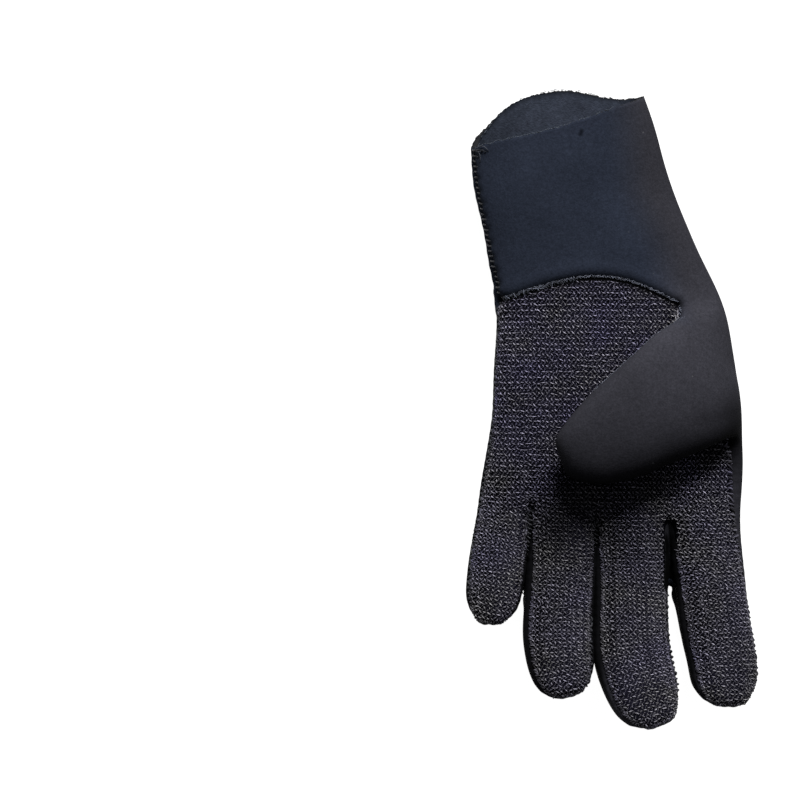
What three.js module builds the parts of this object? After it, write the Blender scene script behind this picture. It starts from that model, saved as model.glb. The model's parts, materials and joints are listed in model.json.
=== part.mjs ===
// Aramid glove: a left-hand work glove of foam rubber with a knitted aramid palm, lying on its back.
//
// Frame: the glove rests on z = 0 with its palm up (+Z). The fingers point to -Y, the gauntlet to +Y
// and the thumb side is +X. The thumb is folded over the palm. Millimetres.
//
// The whole glove is one net of four-sided cells: rings round the hand, four finger tubes that share
// the last ring, and a thumb tube that rises from an opening in the hand's edge. The net is smoothed
// as a subdivision surface. Each sewn panel is the set of cells that carries its name, made as thick
// as the wall and drawn back from its seams.
import * as THREE from "three";

// Driving sizes
const WALL = 3.0;
const SEAM_GAP = 0.5;
const WALL_EVENING_PASSES = 4;

// The middle of the glove's box in the tables' own frame: the glove is moved so that it lies at X 0, Y 0
const MIDDLE_X = -2.535;
const MIDDLE_Y = 1.636;

// Strips of cells: across one finger's face (and its back), and down one side wall
const FACE = 4;
const SIDE = 4;
const FINGER_COUNT = 4;

// Rows of cells along the hand, counted from the hem
const WRIST_ROW = 8;
const KNUCKLE_ARC_ROW = 12;
const CROTCH_ROW = 14;
const LAST_ROW = 18;
const THUMB_STRIPS = 2;

// Columns round the hand: palm, index side wall, back (right to left), little-finger side wall
const PALM_COLUMNS = FACE * FINGER_COUNT;
const BACK_START = PALM_COLUMNS + SIDE;
const BACK_END = BACK_START + PALM_COLUMNS;
const RING_SIZE = BACK_END + SIDE;

// How boxy the hand's section is, above and below its widest line
const PALM_ROUNDNESS = 2.6;
const BACK_ROUNDNESS = 3.0;
const BACK_CORNER_INSET = 6.5;

// The hand, row by row: its two edges seen from above, how far the palm's seams sit in from them,
// the height of the palm and of the widest line, and how far the rows bow toward the hem
const handRows = [
  { row: 0, leftX: -60.0, leftY: 106.9, rightX: 12.4, rightY: 126.6, seamLeft: 0.2, seamRight: 14.0,
    palmZ: 30.0, sideZ: 15.0, palmBow: -2.0, hemBow: 17.0, archShare: 0.0, knuckleShare: 0.0 },
  { row: 2, leftX: -58.4, leftY: 91.2, rightX: 19.2, rightY: 106.0, seamLeft: 0.2, seamRight: 15.0,
    palmZ: 29.0, sideZ: 14.5, palmBow: -1.5, hemBow: 12.0, archShare: 0.0, knuckleShare: 0.0 },
  { row: 4, leftX: -55.5, leftY: 75.5, rightX: 26.2, rightY: 84.1, seamLeft: 0.2, seamRight: 16.0,
    palmZ: 28.0, sideZ: 14.0, palmBow: 1.0, hemBow: 8.0, archShare: 0.0, knuckleShare: 0.0 },
  { row: 6, leftX: -52.2, leftY: 60.2, rightX: 35.4, rightY: 64.2, seamLeft: 0.2, seamRight: 18.0,
    palmZ: 27.0, sideZ: 13.5, palmBow: 5.0, hemBow: 4.0, archShare: 0.0, knuckleShare: 0.0 },
  { row: 8, leftX: -48.5, leftY: 44.9, rightX: 45.6, rightY: 42.6, seamLeft: 0.2, seamRight: 21.8,
    palmZ: 26.0, sideZ: 13.5, palmBow: 10.3, hemBow: 2.0, archShare: 0.05, knuckleShare: 0.0 },
  { row: 10, leftX: -49.8, leftY: 24.3, rightX: 49.8, rightY: 23.0, seamLeft: 0.2, seamRight: 21.5,
    palmZ: 25.0, sideZ: 13.0, palmBow: 7.0, hemBow: 0.0, archShare: 0.45, knuckleShare: 0.0 },
  { row: 12, leftX: -50.6, leftY: 3.6, rightX: 52.4, rightY: 4.0, seamLeft: 0.2, seamRight: 17.0,
    palmZ: 24.5, sideZ: 13.0, palmBow: 3.0, hemBow: 0.0, archShare: 1.0, knuckleShare: 0.0 },
  { row: 14, leftX: -52.7, leftY: -16.2, rightX: 53.6, rightY: -15.0, seamLeft: 0.2, seamRight: 7.8,
    palmZ: 24.5, sideZ: 12.5, palmBow: 0.0, hemBow: 0.0, archShare: 0.66, knuckleShare: 0.33 },
  { row: 16, leftX: -54.9, leftY: -29.0, rightX: 53.1, rightY: -27.5, seamLeft: 0.2, seamRight: 6.0,
    palmZ: 24.5, sideZ: 12.0, palmBow: 0.0, hemBow: 0.0, archShare: 0.33, knuckleShare: 0.67 },
  { row: 18, leftX: -56.8, leftY: -41.0, rightX: 52.2, rightY: -39.8, seamLeft: 0.2, seamRight: 4.0,
    palmZ: 23.5, sideZ: 12.0, palmBow: 0.0, hemBow: 0.0, archShare: 0.0, knuckleShare: 1.0 },
];

// Where the hand is parted into fingers at the last row: the share of its width, and how far that
// point lies along Y from the straight row, on the palm and on the back
const fingerParts = [
  { palmShare: 0.0, palmShift: 0.0, backShare: 0.0, backShift: -3.0 },
  { palmShare: 0.205, palmShift: 3.0, backShare: 0.132, backShift: -34.0 },
  { palmShare: 0.461, palmShift: -5.0, backShare: 0.438, backShift: -25.0 },
  { palmShare: 0.744, palmShift: -4.5, backShare: 0.764, backShift: -32.0 },
  { palmShare: 1.0, palmShift: 0.0, backShare: 1.0, backShift: -3.0 },
];

// How far round the back the hem's arc has risen, as a share of its full bow, from left to right
const hemArc = [
  { share: 0.0, bow: 0.5 },
  { share: 0.1, bow: 0.8 },
  { share: 0.25, bow: 0.98 },
  { share: 0.4, bow: 0.98 },
  { share: 0.6, bow: 0.84 },
  { share: 0.8, bow: 0.52 },
  { share: 1.0, bow: 0.25 },
];
const MID_FINGER_PALM_SHIFT = -3.0;
const MID_FINGER_BACK_SHIFT = -15.0;
const PALM_GROOVE = 4.0;
const BACK_GROOVE = 4.0;
const GROOVE_HALF_WIDTH = 7.0;

// The seam over the two middle knuckles: how far it drops at its ends and rises at its crown
const ARCH_DROP = 15.0;
const ARCH_RISE = 20.0;

// Fingers: how low the knitted face reaches on its left and right, as turns from the widest line, and
// the middle line from the knuckles to the tip with its width, depth and the lean of the face
const fingers = [
  {
    name: "little", back: "back_panel", bodyRings: 5, faceLeft: 20, faceRight: 20,
    line: [
      { at: 0.0, x: -45.1, y: -37.8, z: 12.0, width: 24.0, depth: 20.0, lean: 0 },
      { at: 0.37, x: -48.2, y: -56.4, z: 13.0, width: 23.0, depth: 19.5, lean: 0 },
      { at: 0.7, x: -50.2, y: -72.0, z: 17.5, width: 23.0, depth: 19.0, lean: 1 },
      { at: 1.0, x: -52.8, y: -87.0, z: 22.5, width: 21.5, depth: 18.0, lean: 2 },
    ],
  },
  {
    name: "ring", back: "ring_finger_back", bodyRings: 8, faceLeft: 34, faceRight: 28,
    line: [
      { at: 0.0, x: -20.7, y: -41.9, z: 12.0, width: 26.5, depth: 21.0, lean: 0 },
      { at: 0.33, x: -22.2, y: -66.7, z: 13.0, width: 27.2, depth: 20.5, lean: 0 },
      { at: 0.64, x: -24.3, y: -90.0, z: 17.5, width: 28.6, depth: 20.0, lean: 1 },
      { at: 0.85, x: -23.4, y: -105.0, z: 22.5, width: 27.0, depth: 19.0, lean: 2 },
      { at: 1.0, x: -21.0, y: -116.2, z: 26.0, width: 25.5, depth: 18.0, lean: 3 },
    ],
  },
  {
    name: "middle", back: "middle_finger_back", bodyRings: 9, faceLeft: 34, faceRight: 20,
    line: [
      { at: 0.0, x: 7.5, y: -42.8, z: 12.0, width: 28.5, depth: 21.5, lean: 0 },
      { at: 0.28, x: 6.8, y: -66.7, z: 13.0, width: 29.6, depth: 21.0, lean: 0 },
      { at: 0.51, x: 5.7, y: -87.0, z: 17.0, width: 30.2, depth: 20.5, lean: 2 },
      { at: 0.7, x: 6.2, y: -102.0, z: 21.5, width: 31.2, depth: 20.0, lean: 4 },
      { at: 0.88, x: 10.0, y: -116.6, z: 27.5, width: 30.0, depth: 19.0, lean: 8 },
      { at: 1.0, x: 16.0, y: -126.8, z: 31.0, width: 28.0, depth: 18.0, lean: 10 },
    ],
  },
  {
    name: "index", back: "back_panel", bodyRings: 8, faceLeft: 34, faceRight: 12,
    line: [
      { at: 0.0, x: 37.6, y: -39.9, z: 12.0, width: 29.0, depth: 21.5, lean: 0 },
      { at: 0.32, x: 38.4, y: -66.7, z: 13.0, width: 28.4, depth: 20.5, lean: 0 },
      { at: 0.57, x: 40.3, y: -87.0, z: 17.0, width: 28.9, depth: 20.0, lean: 1 },
      { at: 0.78, x: 42.5, y: -103.5, z: 22.0, width: 28.5, depth: 19.0, lean: 3 },
      { at: 1.0, x: 43.8, y: -119.4, z: 27.0, width: 26.5, depth: 18.0, lean: 4 },
    ],
  },
];
const FINGER_BACK_ANGLE = 40;
const FINGER_ROUNDNESS = 3.2;
const TIP_RADIUS = 13.0;
const TIP_RING_PLACES = [0.62, 0.3, 0.1];
const TIP_LEAD = 4.5;
// How far along a finger's rings the shape of its base still shows
const BASE_FADE = 0.5;
const BASE_FADE_POWER = 1.5;
const LATEST_START = 0.7;
const TIP_TAPER_POWER = 2.4;

// The wall of foam between two fingers, from the palm (0) down to the back (1): how far it has
// sunk and how far it has reached toward the fingertips
const webProfile = [
  { down: 0.25, out: 0.48 },
  { down: 0.5, out: 0.85 },
  { down: 0.75, out: 1.06 },
];

// Thumb: its wrist-side and finger-side edges from the opening in the hand to the tip, the turn of
// its section (0 degrees stands up from the hand, 90 lies over the palm), its depth and how boxy it is
const thumbStations = [
  { at: 0, wristX: 33.6, wristY: 41.0, wristZ: 19.0, crotchX: 49.3, crotchY: -13.9, crotchZ: 17.0,
    turn: -25, depth: 15, roundness: 2.0 },
  { at: 1, wristX: 29.0, wristY: 38.0, wristZ: 28.0, crotchX: 46.5, crotchY: -9.5, crotchZ: 23.5,
    turn: 5, depth: 15, roundness: 2.0 },
  { at: 2, wristX: 20.5, wristY: 35.0, wristZ: 33.5, crotchX: 40.5, crotchY: -13.0, crotchZ: 31.5,
    turn: 44, depth: 17, roundness: 2.1 },
  { at: 3, wristX: 9.5, wristY: 27.0, wristZ: 37.5, crotchX: 29.0, crotchY: -18.6, crotchZ: 34.5,
    turn: 76, depth: 18.5, roundness: 2.2 },
  { at: 4, wristX: -2.0, wristY: 16.5, wristZ: 40.5, crotchX: 15.5, crotchY: -24.8, crotchZ: 34.5,
    turn: 90, depth: 19, roundness: 2.2 },
  { at: 5, wristX: -13.0, wristY: 6.0, wristZ: 41.0, crotchX: 2.0, crotchY: -29.2, crotchZ: 34.3,
    turn: 95, depth: 19, roundness: 2.2 },
  { at: 6, wristX: -21.5, wristY: -2.5, wristZ: 40.0, crotchX: -9.5, crotchY: -31.2, crotchZ: 33.8,
    turn: 97, depth: 18.5, roundness: 2.2 },
  { at: 7, wristX: -26.2, wristY: -10.2, wristZ: 38.0, crotchX: -19.5, crotchY: -28.5, crotchZ: 33.5,
    turn: 98, depth: 15, roundness: 2.2 },
];
const THUMB_FACE_ANGLE = 30;
const THUMB_FADE = 3.0;
const THUMB_TIP_BULGE = 3.0;

const degrees = (angle) => (angle * Math.PI) / 180;
const mix = (from, to, share) => from + (to - from) * share;
const clamp01 = (value) => Math.min(1, Math.max(0, value));
const smoothStep = (value) => clamp01(value) ** 2 * (3 - 2 * clamp01(value));
const signedPower = (value, power) => Math.sign(value) * Math.abs(value) ** power;

// The value of one column of a table at a place between its rows, on a smooth curve through them
function tableValue(table, placeColumn, column, place) {
  const last = table.length - 1;
  let i = 0;
  while (i < last - 1 && place > table[i + 1][placeColumn]) {
    i += 1;
  }
  const slope = (k) => {
    const before = table[Math.max(0, k - 1)];
    const after = table[Math.min(last, k + 1)];
    return (after[column] - before[column]) / (after[placeColumn] - before[placeColumn]);
  };
  const span = table[i + 1][placeColumn] - table[i][placeColumn];
  const t = clamp01((place - table[i][placeColumn]) / span);
  const t2 = t * t;
  const t3 = t2 * t;
  return (2 * t3 - 3 * t2 + 1) * table[i][column] + (t3 - 2 * t2 + t) * span * slope(i)
    + (3 * t2 - 2 * t3) * table[i + 1][column] + (t3 - t2) * span * slope(i + 1);
}

// Between the parting points the rows swing through the middle of each finger
function partShift(column, shiftColumn, midShift) {
  const finger = Math.min(FINGER_COUNT - 1, Math.floor(column / FACE));
  const within = column / FACE - finger;
  const straight = mix(fingerParts[finger][shiftColumn], fingerParts[finger + 1][shiftColumn], within);
  return mix(straight, midShift, Math.sin(Math.PI * within) ** 2);
}

// The share of the hand's width at a column, counted from the little finger: even strips at the
// hem, the fingers' widths at the last row
function columnShare(column, row, shareColumn) {
  const finger = Math.min(FINGER_COUNT - 1, Math.floor(column / FACE));
  const within = column / FACE - finger;
  const parted = mix(fingerParts[finger][shareColumn], fingerParts[finger + 1][shareColumn], within);
  return mix(column / PALM_COLUMNS, parted, smoothStep((row - WRIST_ROW + 4) / (LAST_ROW - WRIST_ROW + 4)));
}

// How deep the grooves between the fingers are at a place on the last rows
function grooveDepth(x, row, partX, depth) {
  const fade = clamp01((row - CROTCH_ROW + 1) / (LAST_ROW - CROTCH_ROW + 1)) ** 2;
  const nearest = Math.min(...partX.map((middle) => Math.abs(x - middle)));
  return depth * fade * Math.exp(-((nearest / GROOVE_HALF_WIDTH) ** 2));
}

// One ring of the hand, as a function of row and column
function handRing(row) {
  const value = (column) => tableValue(handRows, "row", column, row);
  const left = value("leftX");
  const right = value("rightX");
  const middleX = (left + right) / 2;
  const halfWidth = (right - left) / 2;
  const palmZ = value("palmZ");
  const sideZ = value("sideZ");
  const rowY = (x) => mix(value("leftY"), value("rightY"), (x - left) / (right - left));
  const angleAt = (x, roundness) => Math.acos(
    signedPower(THREE.MathUtils.clamp((x - middleX) / halfWidth, -1, 1), roundness / 2));
  const palmHeight = (angle) => sideZ + (palmZ - sideZ) * Math.abs(Math.sin(angle)) ** (2 / PALM_ROUNDNESS);
  const backHeight = (angle) => sideZ - (sideZ + 0.8) * Math.abs(Math.sin(angle)) ** (2 / BACK_ROUNDNESS);

  const palmLeft = left + value("seamLeft");
  const palmRight = right - value("seamRight");
  const backLeft = left + BACK_CORNER_INSET;
  const backRight = right - BACK_CORNER_INSET;
  const partX = (from, to, shareColumn) => fingerParts.slice(1, -1).map((part, i) =>
    mix(from, to, columnShare((i + 1) * FACE, row, shareColumn)));

  const palmPoint = (column) => {
    const share = columnShare(column, row, "palmShare");
    const x = mix(palmLeft, palmRight, share);
    const bow = value("palmBow") * Math.sin(Math.PI * share ** 1.2);
    const parting = value("knuckleShare") * partShift(column, "palmShift", MID_FINGER_PALM_SHIFT);
    const groove = grooveDepth(x, row, partX(palmLeft, palmRight, "palmShare"), PALM_GROOVE);
    return new THREE.Vector3(x, rowY(x) + bow + parting, palmHeight(angleAt(x, PALM_ROUNDNESS)) - groove);
  };
  const backPoint = (column) => {
    const fromLeft = BACK_END - column;
    const share = columnShare(fromLeft, row, "backShare");
    const x = mix(backLeft, backRight, share);
    const hem = value("hemBow") * tableValue(hemArc, "share", "bow", share);
    const strip = fromLeft / PALM_COLUMNS;
    const edge = smoothStep(Math.min(strip, 1 - strip) / 0.25);
    const crown = Math.sin(Math.PI * clamp01((strip - 0.25) / 0.5)) ** 0.65;
    const arch = value("archShare") * (ARCH_RISE * crown - ARCH_DROP * edge);
    const parting = value("knuckleShare") * partShift(fromLeft, "backShift", MID_FINGER_BACK_SHIFT);
    const groove = grooveDepth(x, row, partX(backLeft, backRight, "backShare"), BACK_GROOVE);
    return new THREE.Vector3(
      x, rowY(x) + hem + arch + parting, backHeight(angleAt(x, BACK_ROUNDNESS)) + groove);
  };
  // A side wall runs round the widest line, from the palm's seam to the corner of the back
  const sidePoint = (palmCorner, backCorner, share) => {
    const top = angleAt(palmCorner.x, PALM_ROUNDNESS);
    const bottom = angleAt(backCorner.x, BACK_ROUNDNESS);
    const rightSide = palmCorner.x > middleX;
    const topTurn = rightSide ? top : Math.PI - top;
    const bottomTurn = rightSide ? bottom : Math.PI - bottom;
    const turn = mix(topTurn, -bottomTurn, share);
    const roundness = turn > 0 ? PALM_ROUNDNESS : BACK_ROUNDNESS;
    const reach = halfWidth * Math.abs(Math.cos(turn)) ** (2 / roundness);
    const x = middleX + (rightSide ? reach : -reach);
    const z = turn > 0 ? palmHeight(turn) : backHeight(turn);
    const palmShift = palmCorner.y - rowY(palmCorner.x);
    const backShift = backCorner.y - rowY(backCorner.x);
    const y = rowY(x) + mix(palmShift, backShift, smoothStep(share));
    return new THREE.Vector3(x, y, z);
  };

  const ring = [];
  for (let column = 0; column < RING_SIZE; column += 1) {
    if (column <= PALM_COLUMNS) {
      ring.push(palmPoint(column));
    } else if (column < BACK_START) {
      ring.push(sidePoint(palmPoint(PALM_COLUMNS), backPoint(BACK_START), (column - PALM_COLUMNS) / SIDE));
    } else if (column <= BACK_END) {
      ring.push(backPoint(column));
    } else {
      ring.push(sidePoint(palmPoint(0), backPoint(BACK_END), 1 - (column - BACK_END) / SIDE));
    }
  }
  return ring;
}

// The net of cells
const points = [];
const cells = [];

function addPoint(point) {
  points.push(point);
  return points.length - 1;
}

function addCell(corners, panel) {
  cells.push({ corners, panel });
}

function handPanel(row, column) {
  if (column < PALM_COLUMNS) {
    return row >= WRIST_ROW ? "palm_panel" : "back_panel";
  }
  const fromBack = column - BACK_START;
  if (row >= KNUCKLE_ARC_ROW && fromBack >= FACE && fromBack < 2 * FACE) {
    return "middle_finger_back";
  }
  if (row >= KNUCKLE_ARC_ROW && fromBack >= 2 * FACE && fromBack < 3 * FACE) {
    return "ring_finger_back";
  }
  return "back_panel";
}

function inThumbOpening(row, column) {
  return row >= WRIST_ROW && row < CROTCH_ROW
    && column >= PALM_COLUMNS && column < PALM_COLUMNS + THUMB_STRIPS;
}

function buildHand() {
  const rings = [];
  for (let row = 0; row <= LAST_ROW; row += 1) {
    rings.push(handRing(row).map((point, column) => {
      const inside = row > WRIST_ROW && row < CROTCH_ROW
        && column > PALM_COLUMNS && column < PALM_COLUMNS + THUMB_STRIPS;
      return inside ? -1 : addPoint(point);
    }));
  }
  for (let row = 0; row < LAST_ROW; row += 1) {
    for (let column = 0; column < RING_SIZE; column += 1) {
      if (!inThumbOpening(row, column)) {
        const next = (column + 1) % RING_SIZE;
        addCell([rings[row][column], rings[row + 1][column], rings[row + 1][next], rings[row][next]],
          handPanel(row, column));
      }
    }
  }
  return rings;
}

// Turns round a section in the order face, side, back, side, as angles from its right-hand end
function sectionAngles(faceCells, sideCells, faceLeft, faceRight, backAngle) {
  const angles = [];
  const run = (from, to, count) => {
    for (let i = 0; i < count; i += 1) {
      angles.push(degrees(mix(from, to, i / count)));
    }
  };
  run(180 - faceLeft, faceRight, faceCells);
  run(faceRight, -backAngle, sideCells);
  run(-backAngle, backAngle - 180, faceCells);
  run(backAngle - 180, -180 - faceLeft, sideCells);
  return angles;
}

function roundedPoint(angle, roundness) {
  return {
    across: signedPower(Math.cos(angle), 2 / roundness),
    up: signedPower(Math.sin(angle), 2 / roundness),
  };
}

// Closes a tube with a patch of cells between the two long runs of its last ring
function closeTip(ring, faceCells, sideCells, push, panel, reversed) {
  const size = ring.length;
  const grid = [];
  for (let j = 0; j <= sideCells; j += 1) {
    const line = [];
    for (let i = 0; i <= faceCells; i += 1) {
      if (j === 0) {
        line.push(ring[i]);
      } else if (j === sideCells) {
        line.push(ring[2 * faceCells + sideCells - i]);
      } else if (i === 0) {
        line.push(ring[(size - j) % size]);
      } else if (i === faceCells) {
        line.push(ring[faceCells + j]);
      } else {
        const a = points[ring[i]];
        const b = points[ring[2 * faceCells + sideCells - i]];
        const c = points[ring[(size - j) % size]];
        const d = points[ring[faceCells + j]];
        const v = j / sideCells;
        const u = i / faceCells;
        const along = a.clone().lerp(b, v);
        const across = c.clone().lerp(d, u);
        const bulge = 16 * u * (1 - u) * v * (1 - v);
        line.push(addPoint(along.lerp(across, 0.5).addScaledVector(push, 0.5 + 0.5 * bulge)));
      }
    }
    grid.push(line);
  }
  for (let j = 0; j < sideCells; j += 1) {
    for (let i = 0; i < faceCells; i += 1) {
      const corners = [grid[j][i], grid[j + 1][i], grid[j + 1][i + 1], grid[j][i + 1]];
      addCell(reversed ? corners.reverse() : corners, panel);
    }
  }
}

function buildFinger(finger, base) {
  const value = (column, at) => tableValue(finger.line, "at", column, at);
  const centre = (at) => new THREE.Vector3(value("x", at), value("y", at), value("z", at));
  const length = centre(0).distanceTo(centre(0.5)) + centre(0.5).distanceTo(centre(1));
  const tipShare = TIP_RADIUS / length;
  const angles = sectionAngles(FACE, SIDE, finger.faceLeft, finger.faceRight, FINGER_BACK_ANGLE);

  const frameAt = (at) => {
    const ahead = centre(Math.min(1, at + 0.02)).sub(centre(Math.max(0, at - 0.02))).normalize();
    const up = new THREE.Vector3(0, 0, 1).addScaledVector(ahead, -ahead.z).normalize();
    const across = up.clone().cross(ahead);
    const lean = degrees(value("lean", at));
    return {
      ahead,
      up: up.clone().multiplyScalar(Math.cos(lean)).addScaledVector(across, Math.sin(lean)),
      across: across.clone().multiplyScalar(Math.cos(lean)).addScaledVector(up, -Math.sin(lean)),
    };
  };
  const sectionPoint = (at, index) => {
    const left = clamp01((1 - at) / tipShare);
    const taper = Math.max(0.3, (1 - (1 - left) ** TIP_TAPER_POWER) ** (1 / TIP_TAPER_POWER));
    const frame = frameAt(at);
    const section = roundedPoint(angles[index], FINGER_ROUNDNESS);
    // The gripping face runs on past the back at the tip, and the back is drawn up to meet it
    return centre(at)
      .addScaledVector(frame.ahead, section.up * TIP_LEAD * (1 - left) ** 1.5)
      .addScaledVector(frame.across, (section.across * taper * value("width", at)) / 2)
      .addScaledVector(frame.up, (section.up * taper * value("depth", at)) / 2);
  };

  // Each strip starts where the base leaves off, further along on the back than on the palm
  const reach = centre(0).y - centre(1).y;
  const starts = base.map((corner) =>
    THREE.MathUtils.clamp((centre(0).y - points[corner].y) / reach, 0, LATEST_START));
  const bodyRing = (step) => base.map((corner, index) => {
    const offset = points[corner].clone().sub(sectionPoint(starts[index], index));
    const at = mix(starts[index], 1 - tipShare, step);
    const fade = (1 - clamp01(step / BASE_FADE)) ** BASE_FADE_POWER;
    return sectionPoint(at, index).addScaledVector(offset, fade);
  });
  const tipRing = (place) => angles.map((angle, index) => sectionPoint(1 - place * tipShare, index));
  const rings = [];
  for (let i = 1; i <= finger.bodyRings; i += 1) {
    rings.push(bodyRing(i / finger.bodyRings));
  }
  TIP_RING_PLACES.forEach((place) => rings.push(tipRing(place)));

  let before = base;
  rings.forEach((ringPoints) => {
    const ring = ringPoints.map(addPoint);
    ring.forEach((corner, index) => {
      const next = (index + 1) % ring.length;
      addCell([before[index], ring[index], ring[next], before[next]],
        index < FACE ? "palm_panel" : finger.back);
    });
    before = ring;
  });
  const push = frameAt(1).ahead.multiplyScalar(TIP_RADIUS * 0.12);
  closeTip(before, FACE, SIDE, push, finger.back, false);
}

function buildFingers(handRings) {
  const lastRing = handRings[LAST_ROW];
  // Points down the wall between two neighbouring fingers
  const webs = [];
  for (let part = 1; part < FINGER_COUNT; part += 1) {
    const top = points[lastRing[part * FACE]];
    const bottom = points[lastRing[BACK_END - part * FACE]];
    webs.push(webProfile.map(({ down, out }) => addPoint(new THREE.Vector3(
      mix(top.x, bottom.x, out), mix(top.y, bottom.y, out), mix(top.z, bottom.z, down)))));
  }
  fingers.forEach((finger, order) => {
    const face = lastRing.slice(order * FACE, (order + 1) * FACE + 1);
    const back = lastRing.slice(BACK_END - (order + 1) * FACE, BACK_END - order * FACE + 1);
    const rightWall = order === FINGER_COUNT - 1
      ? lastRing.slice(PALM_COLUMNS + 1, BACK_START) : webs[order];
    const leftWall = order === 0
      ? lastRing.slice(BACK_END + 1) : webs[order - 1].slice().reverse();
    buildFinger(finger, [...face, ...rightWall, ...back, ...leftWall]);
  });
}

function buildThumb(handRings) {
  const faceCells = CROTCH_ROW - WRIST_ROW;
  const farColumn = PALM_COLUMNS + THUMB_STRIPS;
  const base = [];
  for (let row = WRIST_ROW; row <= CROTCH_ROW; row += 1) {
    base.push(handRings[row][PALM_COLUMNS]);
  }
  for (let column = PALM_COLUMNS + 1; column < farColumn; column += 1) {
    base.push(handRings[CROTCH_ROW][column]);
  }
  for (let row = CROTCH_ROW; row >= WRIST_ROW; row -= 1) {
    base.push(handRings[row][farColumn]);
  }
  for (let column = farColumn - 1; column > PALM_COLUMNS; column -= 1) {
    base.push(handRings[WRIST_ROW][column]);
  }
  // The face of this section looks at the palm, so its turns run the other way round
  const faceAngle = THUMB_FACE_ANGLE;
  const angles = sectionAngles(faceCells, THUMB_STRIPS, faceAngle, faceAngle, faceAngle)
    .map((angle) => -angle);

  const edges = (at) => {
    const value = (column) => tableValue(thumbStations, "at", column, at);
    return {
      wrist: new THREE.Vector3(value("wristX"), value("wristY"), value("wristZ")),
      crotch: new THREE.Vector3(value("crotchX"), value("crotchY"), value("crotchZ")),
      turn: degrees(value("turn")),
      depth: value("depth"),
      roundness: value("roundness"),
    };
  };
  const sectionPoint = (at, index) => {
    const { wrist, crotch, turn, depth, roundness } = edges(at);
    const half = crotch.clone().sub(wrist).multiplyScalar(0.5);
    const outward = new THREE.Vector3(-half.y, half.x, 0).normalize();
    const up = new THREE.Vector3(0, 0, 1);
    const lift = outward.multiplyScalar(Math.cos(turn)).addScaledVector(up, Math.sin(turn));
    const section = roundedPoint(angles[index], roundness);
    return wrist.clone().add(half)
      .addScaledVector(half, section.across)
      .addScaledVector(lift, (section.up * depth) / 2);
  };

  let before = base;
  const last = thumbStations[thumbStations.length - 1].at;
  for (let at = 1; at <= last; at += 1) {
    const fade = (1 - clamp01(at / THUMB_FADE)) ** 1.2;
    const ring = base.map((start, index) => {
      const offset = points[start].clone().sub(sectionPoint(0, index));
      return addPoint(sectionPoint(at, index).addScaledVector(offset, fade));
    });
    ring.forEach((corner, index) => {
      const next = (index + 1) % ring.length;
      addCell([before[index], before[next], ring[next], ring[index]],
        index < faceCells ? "palm_panel" : "back_panel");
    });
    before = ring;
  }
  const tip = edges(last);
  const inner = edges(last - 1);
  const push = tip.wrist.clone().add(tip.crotch).sub(inner.wrist).sub(inner.crotch)
    .normalize().multiplyScalar(THUMB_TIP_BULGE);
  closeTip(before, faceCells, THUMB_STRIPS, push, "back_panel", true);
}

// The smooth surface's own position for each point of the net. A point inside the net takes the mean
// of its neighbours with the weights of a Catmull-Clark surface, one on the hem those of a curve.
function smoothedPoints() {
  const edgeNeighbours = points.map(() => new Set());
  const cornerNeighbours = points.map(() => []);
  const edgeUses = new Map();
  const edgeKey = (a, b) => (a < b ? `${a}_${b}` : `${b}_${a}`);
  cells.forEach(({ corners }) => {
    corners.forEach((corner, i) => {
      const next = corners[(i + 1) % 4];
      edgeNeighbours[corner].add(next);
      edgeNeighbours[next].add(corner);
      cornerNeighbours[corner].push(corners[(i + 2) % 4]);
      const key = edgeKey(corner, next);
      edgeUses.set(key, (edgeUses.get(key) || 0) + 1);
    });
  });
  const onHem = (a, b) => edgeUses.get(edgeKey(a, b)) === 1;
  return points.map((point, index) => {
    const hemNeighbours = [...edgeNeighbours[index]].filter((other) => onHem(index, other));
    const smoothed = new THREE.Vector3();
    if (hemNeighbours.length === 2) {
      smoothed.addScaledVector(point, 4);
      hemNeighbours.forEach((other) => smoothed.add(points[other]));
      smoothed.divideScalar(6);
    } else {
      const count = cornerNeighbours[index].length;
      smoothed.addScaledVector(point, count * count);
      edgeNeighbours[index].forEach((other) => smoothed.addScaledVector(points[other], 4));
      cornerNeighbours[index].forEach((other) => smoothed.add(points[other]));
      smoothed.divideScalar(count * (count + 5));
    }
    // The glove is soft, so it lies flat where it touches the table
    smoothed.z = Math.max(0, smoothed.z);
    return smoothed;
  });
}

function surfaceNormals(surface) {
  const normals = surface.map(() => new THREE.Vector3());
  cells.forEach(({ corners }) => {
    const [a, b, c, d] = corners.map((corner) => surface[corner]);
    const normal = c.clone().sub(a).cross(d.clone().sub(b));
    corners.forEach((corner) => normals[corner].add(normal));
  });
  return normals.map((normal) => normal.normalize());
}

// The way from the outer face to the inner one: the normals, evened out so that tight folds don't cross
function wallDirections(normals) {
  let directions = normals;
  for (let pass = 0; pass < WALL_EVENING_PASSES; pass += 1) {
    const sums = directions.map((direction) => direction.clone());
    cells.forEach(({ corners }) => corners.forEach((corner, i) => {
      sums[corner].addScaledVector(directions[corners[(i + 1) % 4]], 0.25);
      sums[corner].addScaledVector(directions[corners[(i + 3) % 4]], 0.25);
    }));
    directions = sums.map((sum) => sum.normalize());
  }
  return directions;
}

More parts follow.
